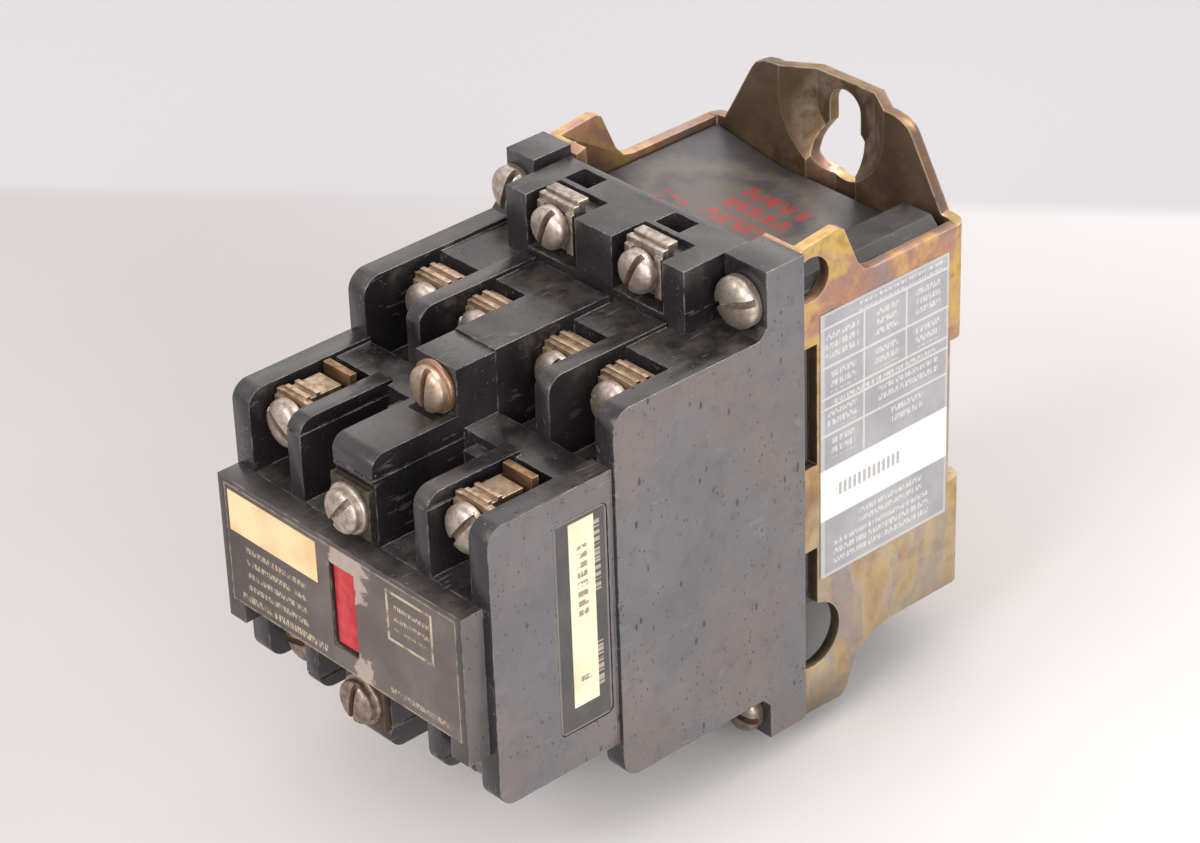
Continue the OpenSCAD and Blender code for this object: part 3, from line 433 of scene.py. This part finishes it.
def coil_resin(name):
    """Dark grey coil moulding with a dried ring of resin and a worn red stamp on its top."""
    g = Graph(name, specular=0.45)
    low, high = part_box("coil_block")
    x, y = g.axis("X"), g.axis("Y")
    clouds = g.noise(9, 5, 0.6)
    colour = g.blend(g.band(clouds, 0.35, 0.7), (0.070, 0.066, 0.074), (0.118, 0.106, 0.110))
    top = g.band(g.facing("Z"), 0.5, 0.9)
    centre_x, centre_y = low.x / MM + STAMP_INSET, (low.y + high.y) / 2 / MM + 1.0
    wobble = g.spread(g.noise(5, 3, 0.6, shift=(2, 2, 2)), 0.3, 0.7, -1.6, 1.6)
    dx = g.times(g.math("SUBTRACT", x, centre_x), 0.82)
    dy = g.math("SUBTRACT", y, centre_y)
    reach = g.math("ADD", g.length(dx, dy), wobble)
    ring = g.times(top, g.within(reach, 11.2, 14.4, 1.4))
    colour = g.blend(g.times(ring, 0.60), colour, (0.23, 0.20, 0.155))
    middle = g.times(top, g.band(reach, 11.0, 7.0))
    colour = g.blend(g.times(middle, 0.65), colour, (0.19, 0.155, 0.125))
    rows = g.print_rows(x, g.math("SUBTRACT", y, 2.4), 4.6, 3.1, 1.7, 3.0)
    block = g.most(g.times(g.within(dx, -3.0, 9.0, 0.3), g.within(dy, -9.5, 8.5, 0.3)),
                   g.times(g.within(dx, -10.0, -5.0, 0.3), g.within(dy, -9.5, -3.0, 0.3)))
    worn = g.band(g.noise(1.4, 4, 0.7, shift=(6, 6, 2)), 0.28, 0.46)
    stamp = g.times(top, rows, block, worn)
    colour = g.blend(g.times(stamp, 0.92), colour, STAMP_RED)
    dust = g.times(top, g.band(g.noise(5, 5, 0.7, shift=(3, 3, 3)), 0.45, 0.75), 0.16)
    colour = g.blend(dust, colour, DUST)
    shaded = g.band(g.corners(24.0), 0.24, 0.52)
    colour = g.blend(g.times(shaded, 0.85), colour, (0.022, 0.018, 0.019))
    rub = g.times(g.edges(0.5), 0.35)
    colour = g.blend(rub, colour, (0.16, 0.15, 0.15))
    rough = g.spread(clouds, 0.3, 0.7, 0.34, 0.52)
    g.relief((g.noise(6, 3, 0.5), 0.06), (g.noise(0.5, 3, 0.6), 0.012))
    return g.finish(colour, rough)


def plain_moulding(name, base, cloud, gloss=0.4):
    """Simple moulded or pressed matter with soft clouds and a fine grain."""
    g = Graph(name)
    clouds = g.noise(6.0, 4, 0.6)
    colour = g.blend(g.band(clouds, 0.35, 0.68), base, cloud)
    # Painted shade: darker in corners and pockets.
    colour = g.blend(g.times(g.band(g.corners(3.0), 0.35, 0.9), 0.5), colour,
                     tuple(0.35 * c for c in base))
    rough = g.spread(clouds, 0.3, 0.7, gloss, gloss + 0.15)
    g.relief((g.noise(0.4, 3, 0.6), 0.012))
    return g.finish(colour, rough)


def wound_wire(name):
    """Enamelled wire laid side by side."""
    g = Graph(name, roughness=0.3)
    turns = g.math("SINE", g.times(g.axis("Y"), math.tau / WINDING_PITCH))
    lift = g.spread(turns, -1, 1, 0, 1)
    # Painted shade: darker in the grooves between the turns.
    colour = g.blend(lift, (0.11, 0.035, 0.012), (0.36, 0.13, 0.045))
    g.relief((lift, 0.08))
    return g.finish(colour, g.spread(g.noise(3, 3), 0.3, 0.7, 0.22, 0.4))


def laminated_steel(name):
    """Stacked magnet sheets: fine lines between the laminations and a thin brown film."""
    g = Graph(name, metallic=0.9)
    lines = g.math("SINE", g.times(g.axis("Z"), math.tau / LAMINATION))
    gap = g.band(lines, 0.75, 1.0)
    colour = g.blend(g.band(g.noise(3, 5, 0.65), 0.4, 0.65), (0.30, 0.29, 0.28), (0.17, 0.13, 0.10))
    colour = g.blend(g.times(gap, 0.75), colour, (0.03, 0.025, 0.02))
    g.relief((g.inverse(gap), 0.05))
    return g.finish(colour, g.spread(g.noise(2, 4), 0.3, 0.7, 0.32, 0.55))


def printed_nameplate(name):
    """Dark printed film with gold rules, rows of small print, a patch worn bare, and painted shade
    towards its left end.
    """
    g = Graph(name, specular=0.5)
    low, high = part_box("nameplate")
    x, z = g.axis("X"), g.axis("Z")
    left, right = low.x / MM, high.x / MM
    bottom, top = low.z / MM, high.z / MM
    clouds = g.noise(7, 4, 0.6)
    colour = g.blend(g.band(clouds, 0.35, 0.7), (0.070, 0.055, 0.049), (0.108, 0.085, 0.075))
    # Painted shade: the plate darkens towards its left end.
    colour = g.blend(g.spread(x, left, left + 24.0, 0.70, 0.0), colour, (0.020, 0.015, 0.013))
    rows = g.print_rows(x, z, PLATE_PITCH, 1.0, 0.42, 1.0)
    inset = g.band(g.noise(6, 1, 0.5, shift=(4, 4, 4)), 0.3, 0.6, 0.75, 1.0)
    foot = g.within(z, bottom + 0.8, bottom + 3.1)
    left_print = g.times(rows, g.within(x, left + 4.4, left + 19.5),
                         g.within(z, bottom + 3.2, -0.6))
    foot_print = g.times(g.print_rows(x, z, PLATE_PITCH, 1.25, 0.5, 7.0),
                         g.within(x, left + 2.6, left + 24.0), foot)
    right_rows = g.times(g.print_rows(x, z, 2.1, 0.8, 0.36, 5.0),
                         g.within(x, 12.4, 20.6), g.within(z, 0.0, 5.2))
    last_row = g.times(g.print_rows(x, z, PLATE_PITCH, 0.95, 0.42, 9.0),
                       g.within(x, right - 16.5, right - 1.8), foot)
    outer = g.times(g.within(x, 10.6, 21.4), g.within(z, -2.4, 6.8))
    inner = g.times(g.within(x, 11.1, 20.9), g.within(z, -1.9, 6.3))
    frame_line = g.times(outer, g.inverse(inner))
    border = g.inverse(g.times(g.within(x, left + 0.35, right - 0.3),
                                             g.within(z, bottom + 0.35, top - 0.3)))
    ink = g.most(left_print, foot_print, right_rows, last_row, g.times(border, 0.45),
                 frame_line)
    worn_ink = g.band(g.noise(1.8, 4, 0.65, shift=(3, 5, 7)), 0.34, 0.55)
    colour = g.blend(g.times(ink, worn_ink, inset, 0.85), colour, PRINT_GOLD)
    ragged = g.spread(g.noise(1.6, 4, 0.7, shift=(2, 4, 6)), 0.3, 0.7, -1.4, 1.4)
    patch_x, patch_z = g.math("ADD", x, ragged), g.math("ADD", z, ragged)
    upper = g.times(g.within(patch_x, -3.2, 5.6, 0.3), g.within(patch_z, 5.0, 9.4, 0.3))
    side = g.times(g.within(patch_x, 2.6, 5.4, 0.3), g.within(patch_z, 0.6, 6.2, 0.3))
    lower = g.times(g.within(patch_x, 2.4, 6.2, 0.3), g.within(patch_z, -13.4, -9.4, 0.3))
    bare = g.most(upper, side, lower)
    bare_tone = g.blend(g.noise(1.2, 4, 0.6), (0.26, 0.20, 0.165), (0.42, 0.34, 0.285))
    colour = g.blend(g.times(bare, 0.85), colour, bare_tone)
    grime = g.band(g.noise(1.1, 5, 0.7, shift=(8, 2, 2)), 0.60, 0.75)
    colour = g.blend(g.times(grime, 0.35), colour, (0.16, 0.12, 0.09))
    rough = g.spread(clouds, 0.3, 0.7, 0.26, 0.40)
    rough = g.math("ADD", rough, g.times(bare, 0.35))
    g.relief((g.noise(4, 3, 0.5), 0.03), (g.inverse(bare), 0.05))
    return g.finish(colour, rough)


def aged_paper(name, clean, stained, ink_rows=None):
    """Yellowed paper: fibres, a soft stain, and optional rows of plain dashes."""
    g = Graph(name, specular=0.25)
    stain = g.noise(8, 4, 0.6)
    colour = g.blend(g.band(stain, 0.38, 0.68), clean, stained)
    fibre = g.noise(0.5, 3, 0.7, stretch=(1, 1, 0.3))
    colour = g.blend(g.times(g.band(fibre, 0.55, 0.75), 0.18), colour,
                     tuple(0.7 * c for c in stained))
    if ink_rows is not None:
        colour = g.blend(ink_rows(g), colour, (0.10, 0.09, 0.08))
    g.relief((g.noise(3, 3, 0.5), 0.03), (fibre, 0.01))
    return g.finish(colour, g.spread(stain, 0.3, 0.7, 0.45, 0.62))


def strip_ink(g):
    """Two runs of dashes along the side strip."""
    y, z = g.axis("Y"), g.axis("Z")
    low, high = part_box("deck_side_strip")
    middle = (low.y + high.y) / 2 / MM
    letters = g.band(g.math("PINGPONG", g.math("ADD", z, 100.0), 0.85), 0.28, 0.42)
    tall = g.within(y, middle - 1.0, middle + 1.0)
    runs = g.most(g.within(z, 0.2, 13.2), g.within(z, -11.2, -9.6))
    worn = g.band(g.noise(0.8, 2, 0.6), 0.36, 0.5)
    return g.times(letters, tall, runs, worn, 0.75)


def side_print(name):
    """Dark film on the deck's side with one line of small pale print."""
    g = Graph(name, specular=0.5)
    low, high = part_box("deck_side_label")
    y, z = g.axis("Y"), g.axis("Z")
    front, back = low.y / MM, high.y / MM
    clouds = g.noise(7, 4, 0.6)
    colour = g.blend(g.band(clouds, 0.35, 0.7), (0.052, 0.048, 0.047), (0.075, 0.069, 0.067))
    line = g.within(y, back - 2.6, back - 1.4)
    letters = g.print_rows(z, y, 6.0, 6.0, 0.62, 4.0)
    runs = g.most(g.within(z, 3.5, 16.5), g.within(z, -13.5, -5.0))
    border = g.inverse(g.times(g.within(y, front + 0.35, back - 0.35),
                                             g.within(z, low.z / MM + 0.35, high.z / MM - 0.35)))
    ink = g.most(g.times(line, letters, runs), g.times(border, 0.35))
    colour = g.blend(g.times(ink, 0.8), colour, (0.42, 0.36, 0.27))
    g.relief((g.noise(4, 3, 0.5), 0.02))
    return g.finish(colour, g.spread(clouds, 0.3, 0.7, 0.26, 0.40))


def rating_print(name):
    """Grey foil label ruled into a table, with a white band and rows of tiny dashes.

    Places on the label are shares of its width (u, front to rear) and height (v, upwards).
    """
    g = Graph(name, specular=0.45)
    low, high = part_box("rating_label")
    y, z = g.axis("Y"), g.axis("Z")
    width, height = (high.y - low.y) / MM, (high.z - low.z) / MM
    u = g.spread(y, low.y / MM, high.y / MM, 0.0, 1.0)
    v = g.spread(z, low.z / MM, high.z / MM, 0.0, 1.0)
    clouds = g.noise(9, 4, 0.6)
    grey = g.blend(g.band(clouds, 0.35, 0.7), (0.27, 0.27, 0.275), (0.34, 0.335, 0.34))
    thin = 0.16 / height
    rules = [g.within(v, level - thin, level + thin, thin)
             for level in (0.945, 0.80, 0.685, 0.645, 0.545)]
    stub = 0.14 / width
    post_a = g.times(g.within(u, 0.335 - stub, 0.335 + stub, stub), g.within(v, 0.42, 0.945, thin))
    post_b = g.times(g.within(u, 0.665 - stub, 0.665 + stub, stub), g.within(v, 0.685, 0.945, thin))
    rows = g.print_rows(y, z, RATING_PITCH, 1.05, 0.55, 2.0)
    cells = [(0.04, 0.29, 0.82, 0.92), (0.42, 0.60, 0.82, 0.93), (0.74, 0.93, 0.82, 0.93),
             (0.08, 0.27, 0.70, 0.78), (0.42, 0.60, 0.70, 0.79), (0.74, 0.93, 0.70, 0.79),
             (0.05, 0.28, 0.56, 0.63), (0.45, 0.92, 0.56, 0.63), (0.08, 0.27, 0.45, 0.53),
             (0.55, 0.80, 0.46, 0.53), (0.30, 0.96, 0.95, 0.985), (0.10, 0.90, 0.652, 0.68),
             (0.30, 0.80, 0.145, 0.20), (0.10, 0.86, 0.035, 0.125)]
    print_area = g.most(*[g.times(g.within(u, a, b, 0.01), g.within(v, c, d, 0.004))
                          for a, b, c, d in cells])
    bar = g.times(g.within(v, 0.222, 0.415, thin), g.within(u, -0.1, 1.1))
    margin = g.inverse(g.times(g.within(u, 0.03, 0.985, 0.004),
                                             g.within(v, 0.012, 0.992, 0.003)))
    ink = g.most(*rules, post_a, post_b, g.times(rows, print_area, 0.75),
                 g.times(margin, 0.45))
    colour = g.blend(g.times(ink, 0.72), grey, PRINT_WHITE)
    bar_tone = g.blend(g.noise(5, 3), (0.76, 0.75, 0.72), (0.68, 0.66, 0.62))
    colour = g.blend(bar, colour, bar_tone)
    typed = g.times(g.within(u, 0.12, 0.62, 0.004), g.within(v, 0.295, 0.342, 0.003),
                    g.band(g.math("PINGPONG", g.math("ADD", y, 100.0), 0.55), 0.18, 0.28))
    colour = g.blend(g.times(typed, 0.6), colour, (0.12, 0.11, 0.11))
    stain = g.band(g.noise(2.6, 5, 0.7, shift=(1, 6, 3)), 0.60, 0.78)
    colour = g.blend(g.times(stain, 0.22), colour, (0.30, 0.24, 0.16))
    g.relief((g.noise(5, 3, 0.5), 0.03))
    return g.finish(colour, g.spread(clouds, 0.3, 0.7, 0.32, 0.46))


def red_flag(name):
    """Glossy red indicator, darkened in its corners as painted shade, with fine scratches."""
    g = Graph(name, specular=0.5)
    tone = g.noise(2.5, 4, 0.6)
    colour = g.blend(g.band(tone, 0.35, 0.7), (0.34, 0.010, 0.016), (0.47, 0.026, 0.032))
    scuff = g.band(g.noise(0.7, 4, 0.7, stretch=(1, 1, 0.25), shift=(2, 3, 3)), 0.60, 0.72)
    colour = g.blend(g.times(scuff, 0.30), colour, (0.62, 0.28, 0.25))
    # Painted shade: darker red in the corners.
    colour = g.blend(g.times(g.corners(1.5), 0.5), colour, (0.10, 0.01, 0.01))
    g.relief((tone, 0.03), (scuff, 0.015))
    return g.finish(colour, g.spread(tone, 0.3, 0.7, 0.22, 0.36))


METALS = {
    "tinned_strip": ((0.46, 0.40, 0.34), (0.24, 0.20, 0.16), RUST, 0.5),
    "nickel_screw": (NICKEL, DULL_NICKEL, RUST, 0.45, 0.34),
    "bare_copper": ((0.62, 0.32, 0.19), (0.34, 0.17, 0.09), RUST, 0.3),
    "plated_screw": ((0.56, 0.50, 0.43), (0.35, 0.29, 0.23), RUST, 0.45, 0.30),
    "brass_strip": ((0.34, 0.21, 0.11), (0.17, 0.10, 0.055), (0.08, 0.04, 0.02), 0.6),
    "clamp_plate": ((0.50, 0.39, 0.27), (0.28, 0.19, 0.125), (0.20, 0.09, 0.045), 0.75),
    "dark_plate": ((0.10, 0.085, 0.07), (0.05, 0.043, 0.036), RUST, 0.6, 0.35),
    "spring_steel": ((0.52, 0.51, 0.50), (0.36, 0.35, 0.33), RUST, 0.1, 0.2),
    "rusty_screw": ((0.54, 0.43, 0.34), (0.37, 0.26, 0.185), (0.15, 0.07, 0.035), 0.7, 0.36,
                    "deck_mounting_screws"),
}
MOULDINGS = {
    "black_phenolic": (),
    "cap_plastic": ((0.024, 0.021, 0.020), (0.042, 0.036, 0.034), 0.7, 0.26, 0.5),
    "carrier_phenolic": ((0.030, 0.019, 0.012), (0.045, 0.030, 0.020), 0.3),
}
PLAIN = {
    "nylon_bobbin": ((0.60, 0.55, 0.42), (0.70, 0.65, 0.52)),
    "cushion_rubber": ((0.020, 0.019, 0.019), (0.035, 0.033, 0.032), 0.6),
}
PAPERS = {
    "tag_paper": ((0.72, 0.52, 0.30), (0.62, 0.40, 0.22)),
    "strip_paper": ((0.76, 0.68, 0.48), (0.66, 0.56, 0.37), strip_ink),
}
SPECIAL = {
    "chromated_steel": chromated_steel,
    "rating_label_print": rating_print,
    "coil_resin": coil_resin,
    "enamelled_copper": wound_wire,
    "magnet_steel": laminated_steel,
    "nameplate_print": printed_nameplate,
    "side_label_print": side_print,
    "red_plastic": red_flag,
}


def make_materials():
    """Every material slot of the record with its finished material."""
    made = {slot: maker(slot) for slot, maker in SPECIAL.items()}
    for maker, family in ((aged_metal, METALS), (phenolic, MOULDINGS), (plain_moulding, PLAIN),
                          (aged_paper, PAPERS)):
        for slot, settings in family.items():
            made[slot] = maker(slot, *settings)
    return made


MATERIALS = make_materials()


# ---- pieces --------------------------------------------------------------------------------

def flat_mesh(node):
    """The CAD node's mesh with its flat faces merged, ready for rounding, as a bmesh."""
    bm = bmesh.new()
    bm.from_mesh(frame["nodes"][node].data)
    for layer in list(bm.loops.layers.float_vector):
        bm.loops.layers.float_vector.remove(layer)
    bmesh.ops.remove_doubles(bm, verts=bm.verts, dist=0.002 * MM)
    bmesh.ops.dissolve_limit(bm, angle_limit=math.radians(0.8), verts=bm.verts, edges=bm.edges,
                             use_dissolve_boundaries=False)
    return bm


def new_piece(name, bm, body, node):
    """Makes an object of the bmesh that rides on body, in the CAD node's material."""
    mesh = bpy.data.meshes.new(name)
    bm.to_mesh(mesh)
    bm.free()
    mesh.polygons.foreach_set("use_smooth", [True] * len(mesh.polygons))
    mesh.materials.append(MATERIALS[SLOTS[node]])
    piece = bpy.data.objects.new(name, mesh)
    bpy.context.scene.collection.objects.link(piece)
    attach(piece, body)
    return piece


def rounded(piece, width_mm, angle=32.0):
    """Rounds the piece's sharp edges and evens out its shading."""
    bevel = piece.modifiers.new("rounding", "BEVEL")
    bevel.width = width_mm * MM
    bevel.segments = 2
    bevel.limit_method = "ANGLE"
    bevel.angle_limit = math.radians(angle)
    bevel.harden_normals = True
    bevel.use_clamp_overlap = True


def moulded(node, body, width_mm):
    """Copy of a CAD node with rounded edges, shown in its place."""
    piece = new_piece(node + "_look", flat_mesh(node), body, node)
    rounded(piece, width_mm)
    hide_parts(node)


def islands(node):
    """Lowest and highest corner of each separate solid of a CAD node, in order of x then z."""
    bm = flat_mesh(node)
    left = set(bm.verts)
    found = []
    while left:
        queue = [left.pop()]
        group = []
        while queue:
            vert = queue.pop()
            group.append(vert.co.copy())
            for edge in vert.link_edges:
                other = edge.other_vert(vert)
                if other in left:
                    left.remove(other)
                    queue.append(other)
        found.append((Vector([min(co[i] for co in group) for i in range(3)]),
                      Vector([max(co[i] for co in group) for i in range(3)])))
    bm.free()
    return sorted(found, key=lambda box: (round(box[0].x, 4), round(box[0].z, 4)))


def lathe(bm, profile, steps=44):
    """Surface of revolution about +Z from (radius, height) pairs that start and end on the axis."""
    rings = []
    for radius, height in profile:
        if radius == 0:
            rings.append([bm.verts.new((0, 0, height))])
        else:
            rings.append([bm.verts.new((radius * math.cos(math.tau * k / steps),
                                        radius * math.sin(math.tau * k / steps), height))
                          for k in range(steps)])
    for lower, upper in zip(rings, rings[1:]):
        for k in range(steps):
            n = (k + 1) % steps
            corners = [lower[k % len(lower)], lower[n % len(lower)],
                       upper[n % len(upper)], upper[k % len(upper)]]
            unique = list(dict.fromkeys(corners))
            bm.faces.new(unique)


def cut_slot(bm, width, floor):
    """Sinks a screwdriver slot along Y into whatever lies above the floor height."""
    for side in (-1, 1):
        bmesh.ops.bisect_plane(bm, geom=bm.verts[:] + bm.edges[:] + bm.faces[:],
                               plane_co=(side * width / 2, 0, 0), plane_no=(1, 0, 0))
    region = [face for face in bm.faces
              if abs(face.calc_center_median().x) < width / 2
              and face.calc_center_median().z > floor + 1e-6]
    sunk = bmesh.ops.extrude_face_region(bm, geom=region)["geom"]
    bmesh.ops.delete(bm, geom=region, context="FACES")
    for vert in (item for item in sunk if isinstance(item, bmesh.types.BMVert)):
        vert.co.z = floor
    bmesh.ops.remove_doubles(bm, verts=bm.verts, dist=1e-6)
    bmesh.ops.dissolve_degenerate(bm, edges=bm.edges, dist=1e-6)
    bmesh.ops.recalc_face_normals(bm, faces=bm.faces)


def screw_shape(radius, head, shank, length, washer):
    """Domed slotted screw with its head towards +Z and its underside at height 0, in metres.

    The dome is given as shares of the head's radius and rise.
    """
    bm = bmesh.new()
    seat = WASHER_THICK * MM if washer else 0.0
    rim = 0.86 * radius if washer else radius
    floor = seat + 0.42 * (head - seat)
    rise = head - seat
    profile = [(0, -length), (0.8 * shank, -length), (shank, -length + 0.5 * MM), (shank, 0)]
    if washer:
        profile += [(0.97 * radius, 0), (radius, 0.12 * MM), (radius, 0.72 * MM),
                    (0.96 * radius, seat), (rim, seat)]
    else:
        profile += [(0.96 * rim, 0), (rim, 0.15 * MM)]
    profile += [(rim, floor), (rim, seat + 0.50 * rise), (0.975 * rim, seat + 0.64 * rise),
                (0.90 * rim, seat + 0.78 * rise), (0.76 * rim, seat + 0.89 * rise),
                (0.52 * rim, seat + 0.965 * rise), (0.25 * rim, seat + 0.995 * rise), (0, head)]
    lathe(bm, profile)
    cut_slot(bm, SLOT_WIDTH * MM, floor)
    return bm


def screws(node, head_mm, first_angle, step, washer=False):
    """Rebuilds every screw of a CAD node in its place, its slot turned by angles in degrees."""
    whole = bmesh.new()
    head = head_mm * MM
    for index, (low, high) in enumerate(islands(node)):
        radius = (high.x - low.x) / 2
        bm = screw_shape(radius, head, SHANK_RADIUS * MM, (high.y - low.y) - head, washer)
        turn = Matrix.Rotation(math.radians(first_angle + step * index), 4, "Y")
        stand = Matrix.Rotation(math.radians(90), 4, "X")
        place = Matrix.Translation(((low.x + high.x) / 2, low.y + head, (low.z + high.z) / 2))
        bmesh.ops.transform(bm, matrix=place @ turn @ stand, verts=bm.verts)
        mesh = bpy.data.meshes.new("scratch")
        bm.to_mesh(mesh)
        bm.free()
        whole.from_mesh(mesh)
        bpy.data.meshes.remove(mesh)
    piece = new_piece(node + "_look", whole, ROOT, node)
    rounded(piece, SCREW_ROUNDING, 50.0)
    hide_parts(node)


def coil_springs(node, body, wire_mm, turns):
    """Helical springs with closed ends, one for each solid of the CAD node."""
    bm = bmesh.new()
    sides, steps = 10, 26
    closed = 0.06
    for low, high in islands(node):
        wire = wire_mm * MM
        radius = (high.x - low.x) / 2 - wire
        x, z = (low.x + high.x) / 2, (low.z + high.z) / 2
        start, end = low.y + wire, high.y - wire
        count = int((turns + 2) * steps)
        rings = []
        for i in range(count + 1):
            wound = i / steps
            share = min(max((wound - 0.8) / (turns + 0.4), 0.0), 1.0)
            advance = (closed * min(wound, 1.0) + (1 - 2 * closed) * share
                       + closed * max(0.0, wound - turns - 1.0))
            around = math.tau * wound
            out = Vector((math.cos(around), 0, math.sin(around)))
            centre = Vector((x, start + (end - start) * advance, z)) + radius * out
            rings.append([bm.verts.new(centre + wire * (math.cos(math.tau * k / sides) * out
                                                        + math.sin(math.tau * k / sides)
                                                        * Vector((0, 1, 0))))
                          for k in range(sides)])
        for a, b in zip(rings, rings[1:]):
            for k in range(sides):
                n = (k + 1) % sides
                bm.faces.new((a[k], a[n], b[n], b[k]))
        bm.faces.new(rings[0][::-1])
        bm.faces.new(rings[-1])
    bmesh.ops.recalc_face_normals(bm, faces=bm.faces)
    piece = new_piece(node + "_look", bm, body, node)
    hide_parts(node)
    return piece


ROUNDINGS = {
    ROOT: {"base_housing": 0.45, "deck_housing": 0.45, "coil_terminal_block": 0.35,
           "magnet_side_blocks": 0.7, "coil_block": 0.6, "mounting_bracket": 0.30,
           "nameplate_cap": 0.30, "base_terminal_strips": 0.15, "deck_terminal_strips": 0.15,
           "coil_terminal_strips": 0.15, "base_clamp_plates": 0.22, "deck_clamp_plates": 0.22,
           "coil_clamp_plates": 0.22, "front_rib_clamps": 0.25, "magnet_yoke": 0.2,
           "yoke_cushion": 0.2, "coil_bobbin": 0.2, "coil_winding": 0.3},
    ARMATURE: {"armature": 0.2, "base_contact_carrier": 0.3, "base_contact_bridges": 0.12},
    DECK: {"deck_contact_carrier": 0.3, "deck_contact_bridges": 0.12,
           "position_indicator": 0.35},
}
for body, widths in ROUNDINGS.items():
    for node, width in widths.items():
        moulded(node, body, width)
screws("base_terminal_screws", SCREW_HEAD, 20, 37)
screws("deck_terminal_screws", SCREW_HEAD, 75, 48)
screws("coil_terminal_screws", SCREW_HEAD, 22, 4)
screws("block_mounting_screws", BLOCK_SCREW_HEAD, 20, 25)
screws("deck_mounting_screws", WASHER_HEAD, 60, -50, washer=True)
screws("front_rib_screws", SCREW_HEAD, 12, 27, washer=True)
returns = coil_springs("return_springs", ROOT, 0.3, 5)
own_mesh(returns)
coil_springs("base_contact_springs", ARMATURE, 0.22, 3)
coil_springs("deck_contact_springs", DECK, 0.22, 3)
for node, obj in frame["nodes"].items():
    obj.data.materials.clear()
    obj.data.materials.append(MATERIALS[SLOTS[node]])


# ---- floor, light and camera ---------------------------------------------------------------

AZIMUTH = math.radians(48.68)
ELEVATION = math.radians(31.12)
ROLL = math.radians(-2.065)
CAMERA_PLACE = Vector((394.65, -404.37, 325.62)) * MM
LENS = 115.9
FLOOR_EDGE = 0.1757
FLOOR_TURN = math.radians(41.84)
FLOOR_SIZE = 6.0
FLOOR_NEAR_LEFT = (0.53, 0.495, 0.495)
FLOOR_NEAR_RIGHT = (0.77, 0.75, 0.745)
FLOOR_FAR = (0.60, 0.585, 0.60)
BACK_DISTANCE = 1.3


def studio_floor():
    """Pale floor in two tones: a lighter sheet in front of a straight edge behind the object."""
    low, high = cad_box
    bm = bmesh.new()
    bmesh.ops.create_grid(bm, x_segments=1, y_segments=1, size=FLOOR_SIZE)
    mesh = bpy.data.meshes.new("floor")
    bm.to_mesh(mesh)
    bm.free()
    floor = bpy.data.objects.new("floor", mesh)
    floor.location = ((low.x + high.x) / 2, (low.y + high.y) / 2, low.z - 0.0002)
    floor.rotation_euler = (0, 0, FLOOR_TURN)
    bpy.context.scene.collection.objects.link(floor)
    g = Graph("floor_paper", specular=0.2, roughness=0.6)
    split = g.add("ShaderNodeSeparateXYZ")
    g.feed(split.inputs[0], g.place)
    far = g.band(split.outputs[1], FLOOR_EDGE - 0.004, FLOOR_EDGE + 0.004)
    shade = g.band(split.outputs[0], -0.16, 0.16)
    cloud = g.spread(g.noise(180, 3, 0.5), 0.3, 0.7, -0.1, 0.1)
    near_tone = g.blend(g.math("ADD", shade, cloud, clamp=True), FLOOR_NEAR_LEFT, FLOOR_NEAR_RIGHT)
    colour = g.blend(far, near_tone, FLOOR_FAR)
    mesh.materials.append(g.finish(colour, 0.62))


def area_light(name, place, target, size, power, colour=(1, 1, 1), gloss_only=False):
    """Round area light aimed at target; gloss_only keeps it to reflections."""
    data = bpy.data.lights.new(name, "AREA")
    data.shape = "DISK"
    data.size = size
    data.energy = power
    data.color = colour
    light = bpy.data.objects.new(name, data)
    light.location = place
    light.rotation_mode = "QUATERNION"
    light.rotation_quaternion = (Vector(target) - Vector(place)).to_track_quat("-Z", "Y")
    light.visible_diffuse = not gloss_only
    bpy.context.scene.collection.objects.link(light)


def studio():
    """Soft light all round, a key in front, one on the right, and two that show only as gloss."""
    world = bpy.data.worlds.new("studio")
    world.use_nodes = True
    background = world.node_tree.nodes["Background"]
    background.inputs["Color"].default_value = (1.0, 0.975, 0.98, 1.0)
    background.inputs["Strength"].default_value = 0.92
    bpy.context.scene.world = world
    middle = (cad_box[0] + cad_box[1]) / 2
    area_light("key", middle + Vector((0.05, -0.95, 0.60)), middle, 0.8, 9.0, (1.0, 0.98, 0.96))
    area_light("back", middle + BACK_DISTANCE * Vector((-0.60, 0.62, 0.52)), middle, 1.3, 3.5,
               (1.0, 0.93, 0.91), True)
    area_light("rim", middle + Vector((0.15, 0.60, 0.80)), middle, 0.6, 8.0,
               (1.0, 0.97, 0.95), True)
    area_light("side", middle + Vector((0.98, -0.30, 0.34)), middle, 0.8, 8.0)


def camera():
    """The photograph's viewpoint, worked out from the vanishing points of its long edges."""
    data = bpy.data.cameras.new("camera")
    data.lens = LENS
    data.sensor_width = 36.0
    data.clip_start = 0.01
    cam = bpy.data.objects.new("camera", data)
    level = Vector((math.sin(AZIMUTH) * math.cos(ELEVATION),
                    -math.cos(AZIMUTH) * math.cos(ELEVATION), math.sin(ELEVATION)))
    cam.rotation_mode = "QUATERNION"
    cam.location = CAMERA_PLACE
    cam.rotation_quaternion = (-level).to_track_quat("-Z", "Y") @ Quaternion((0, 0, 1), ROLL)
    bpy.context.scene.collection.objects.link(cam)
    bpy.context.scene.camera = cam


studio_floor()
studio()
camera()
bpy.context.scene.view_settings.view_transform = "Standard"
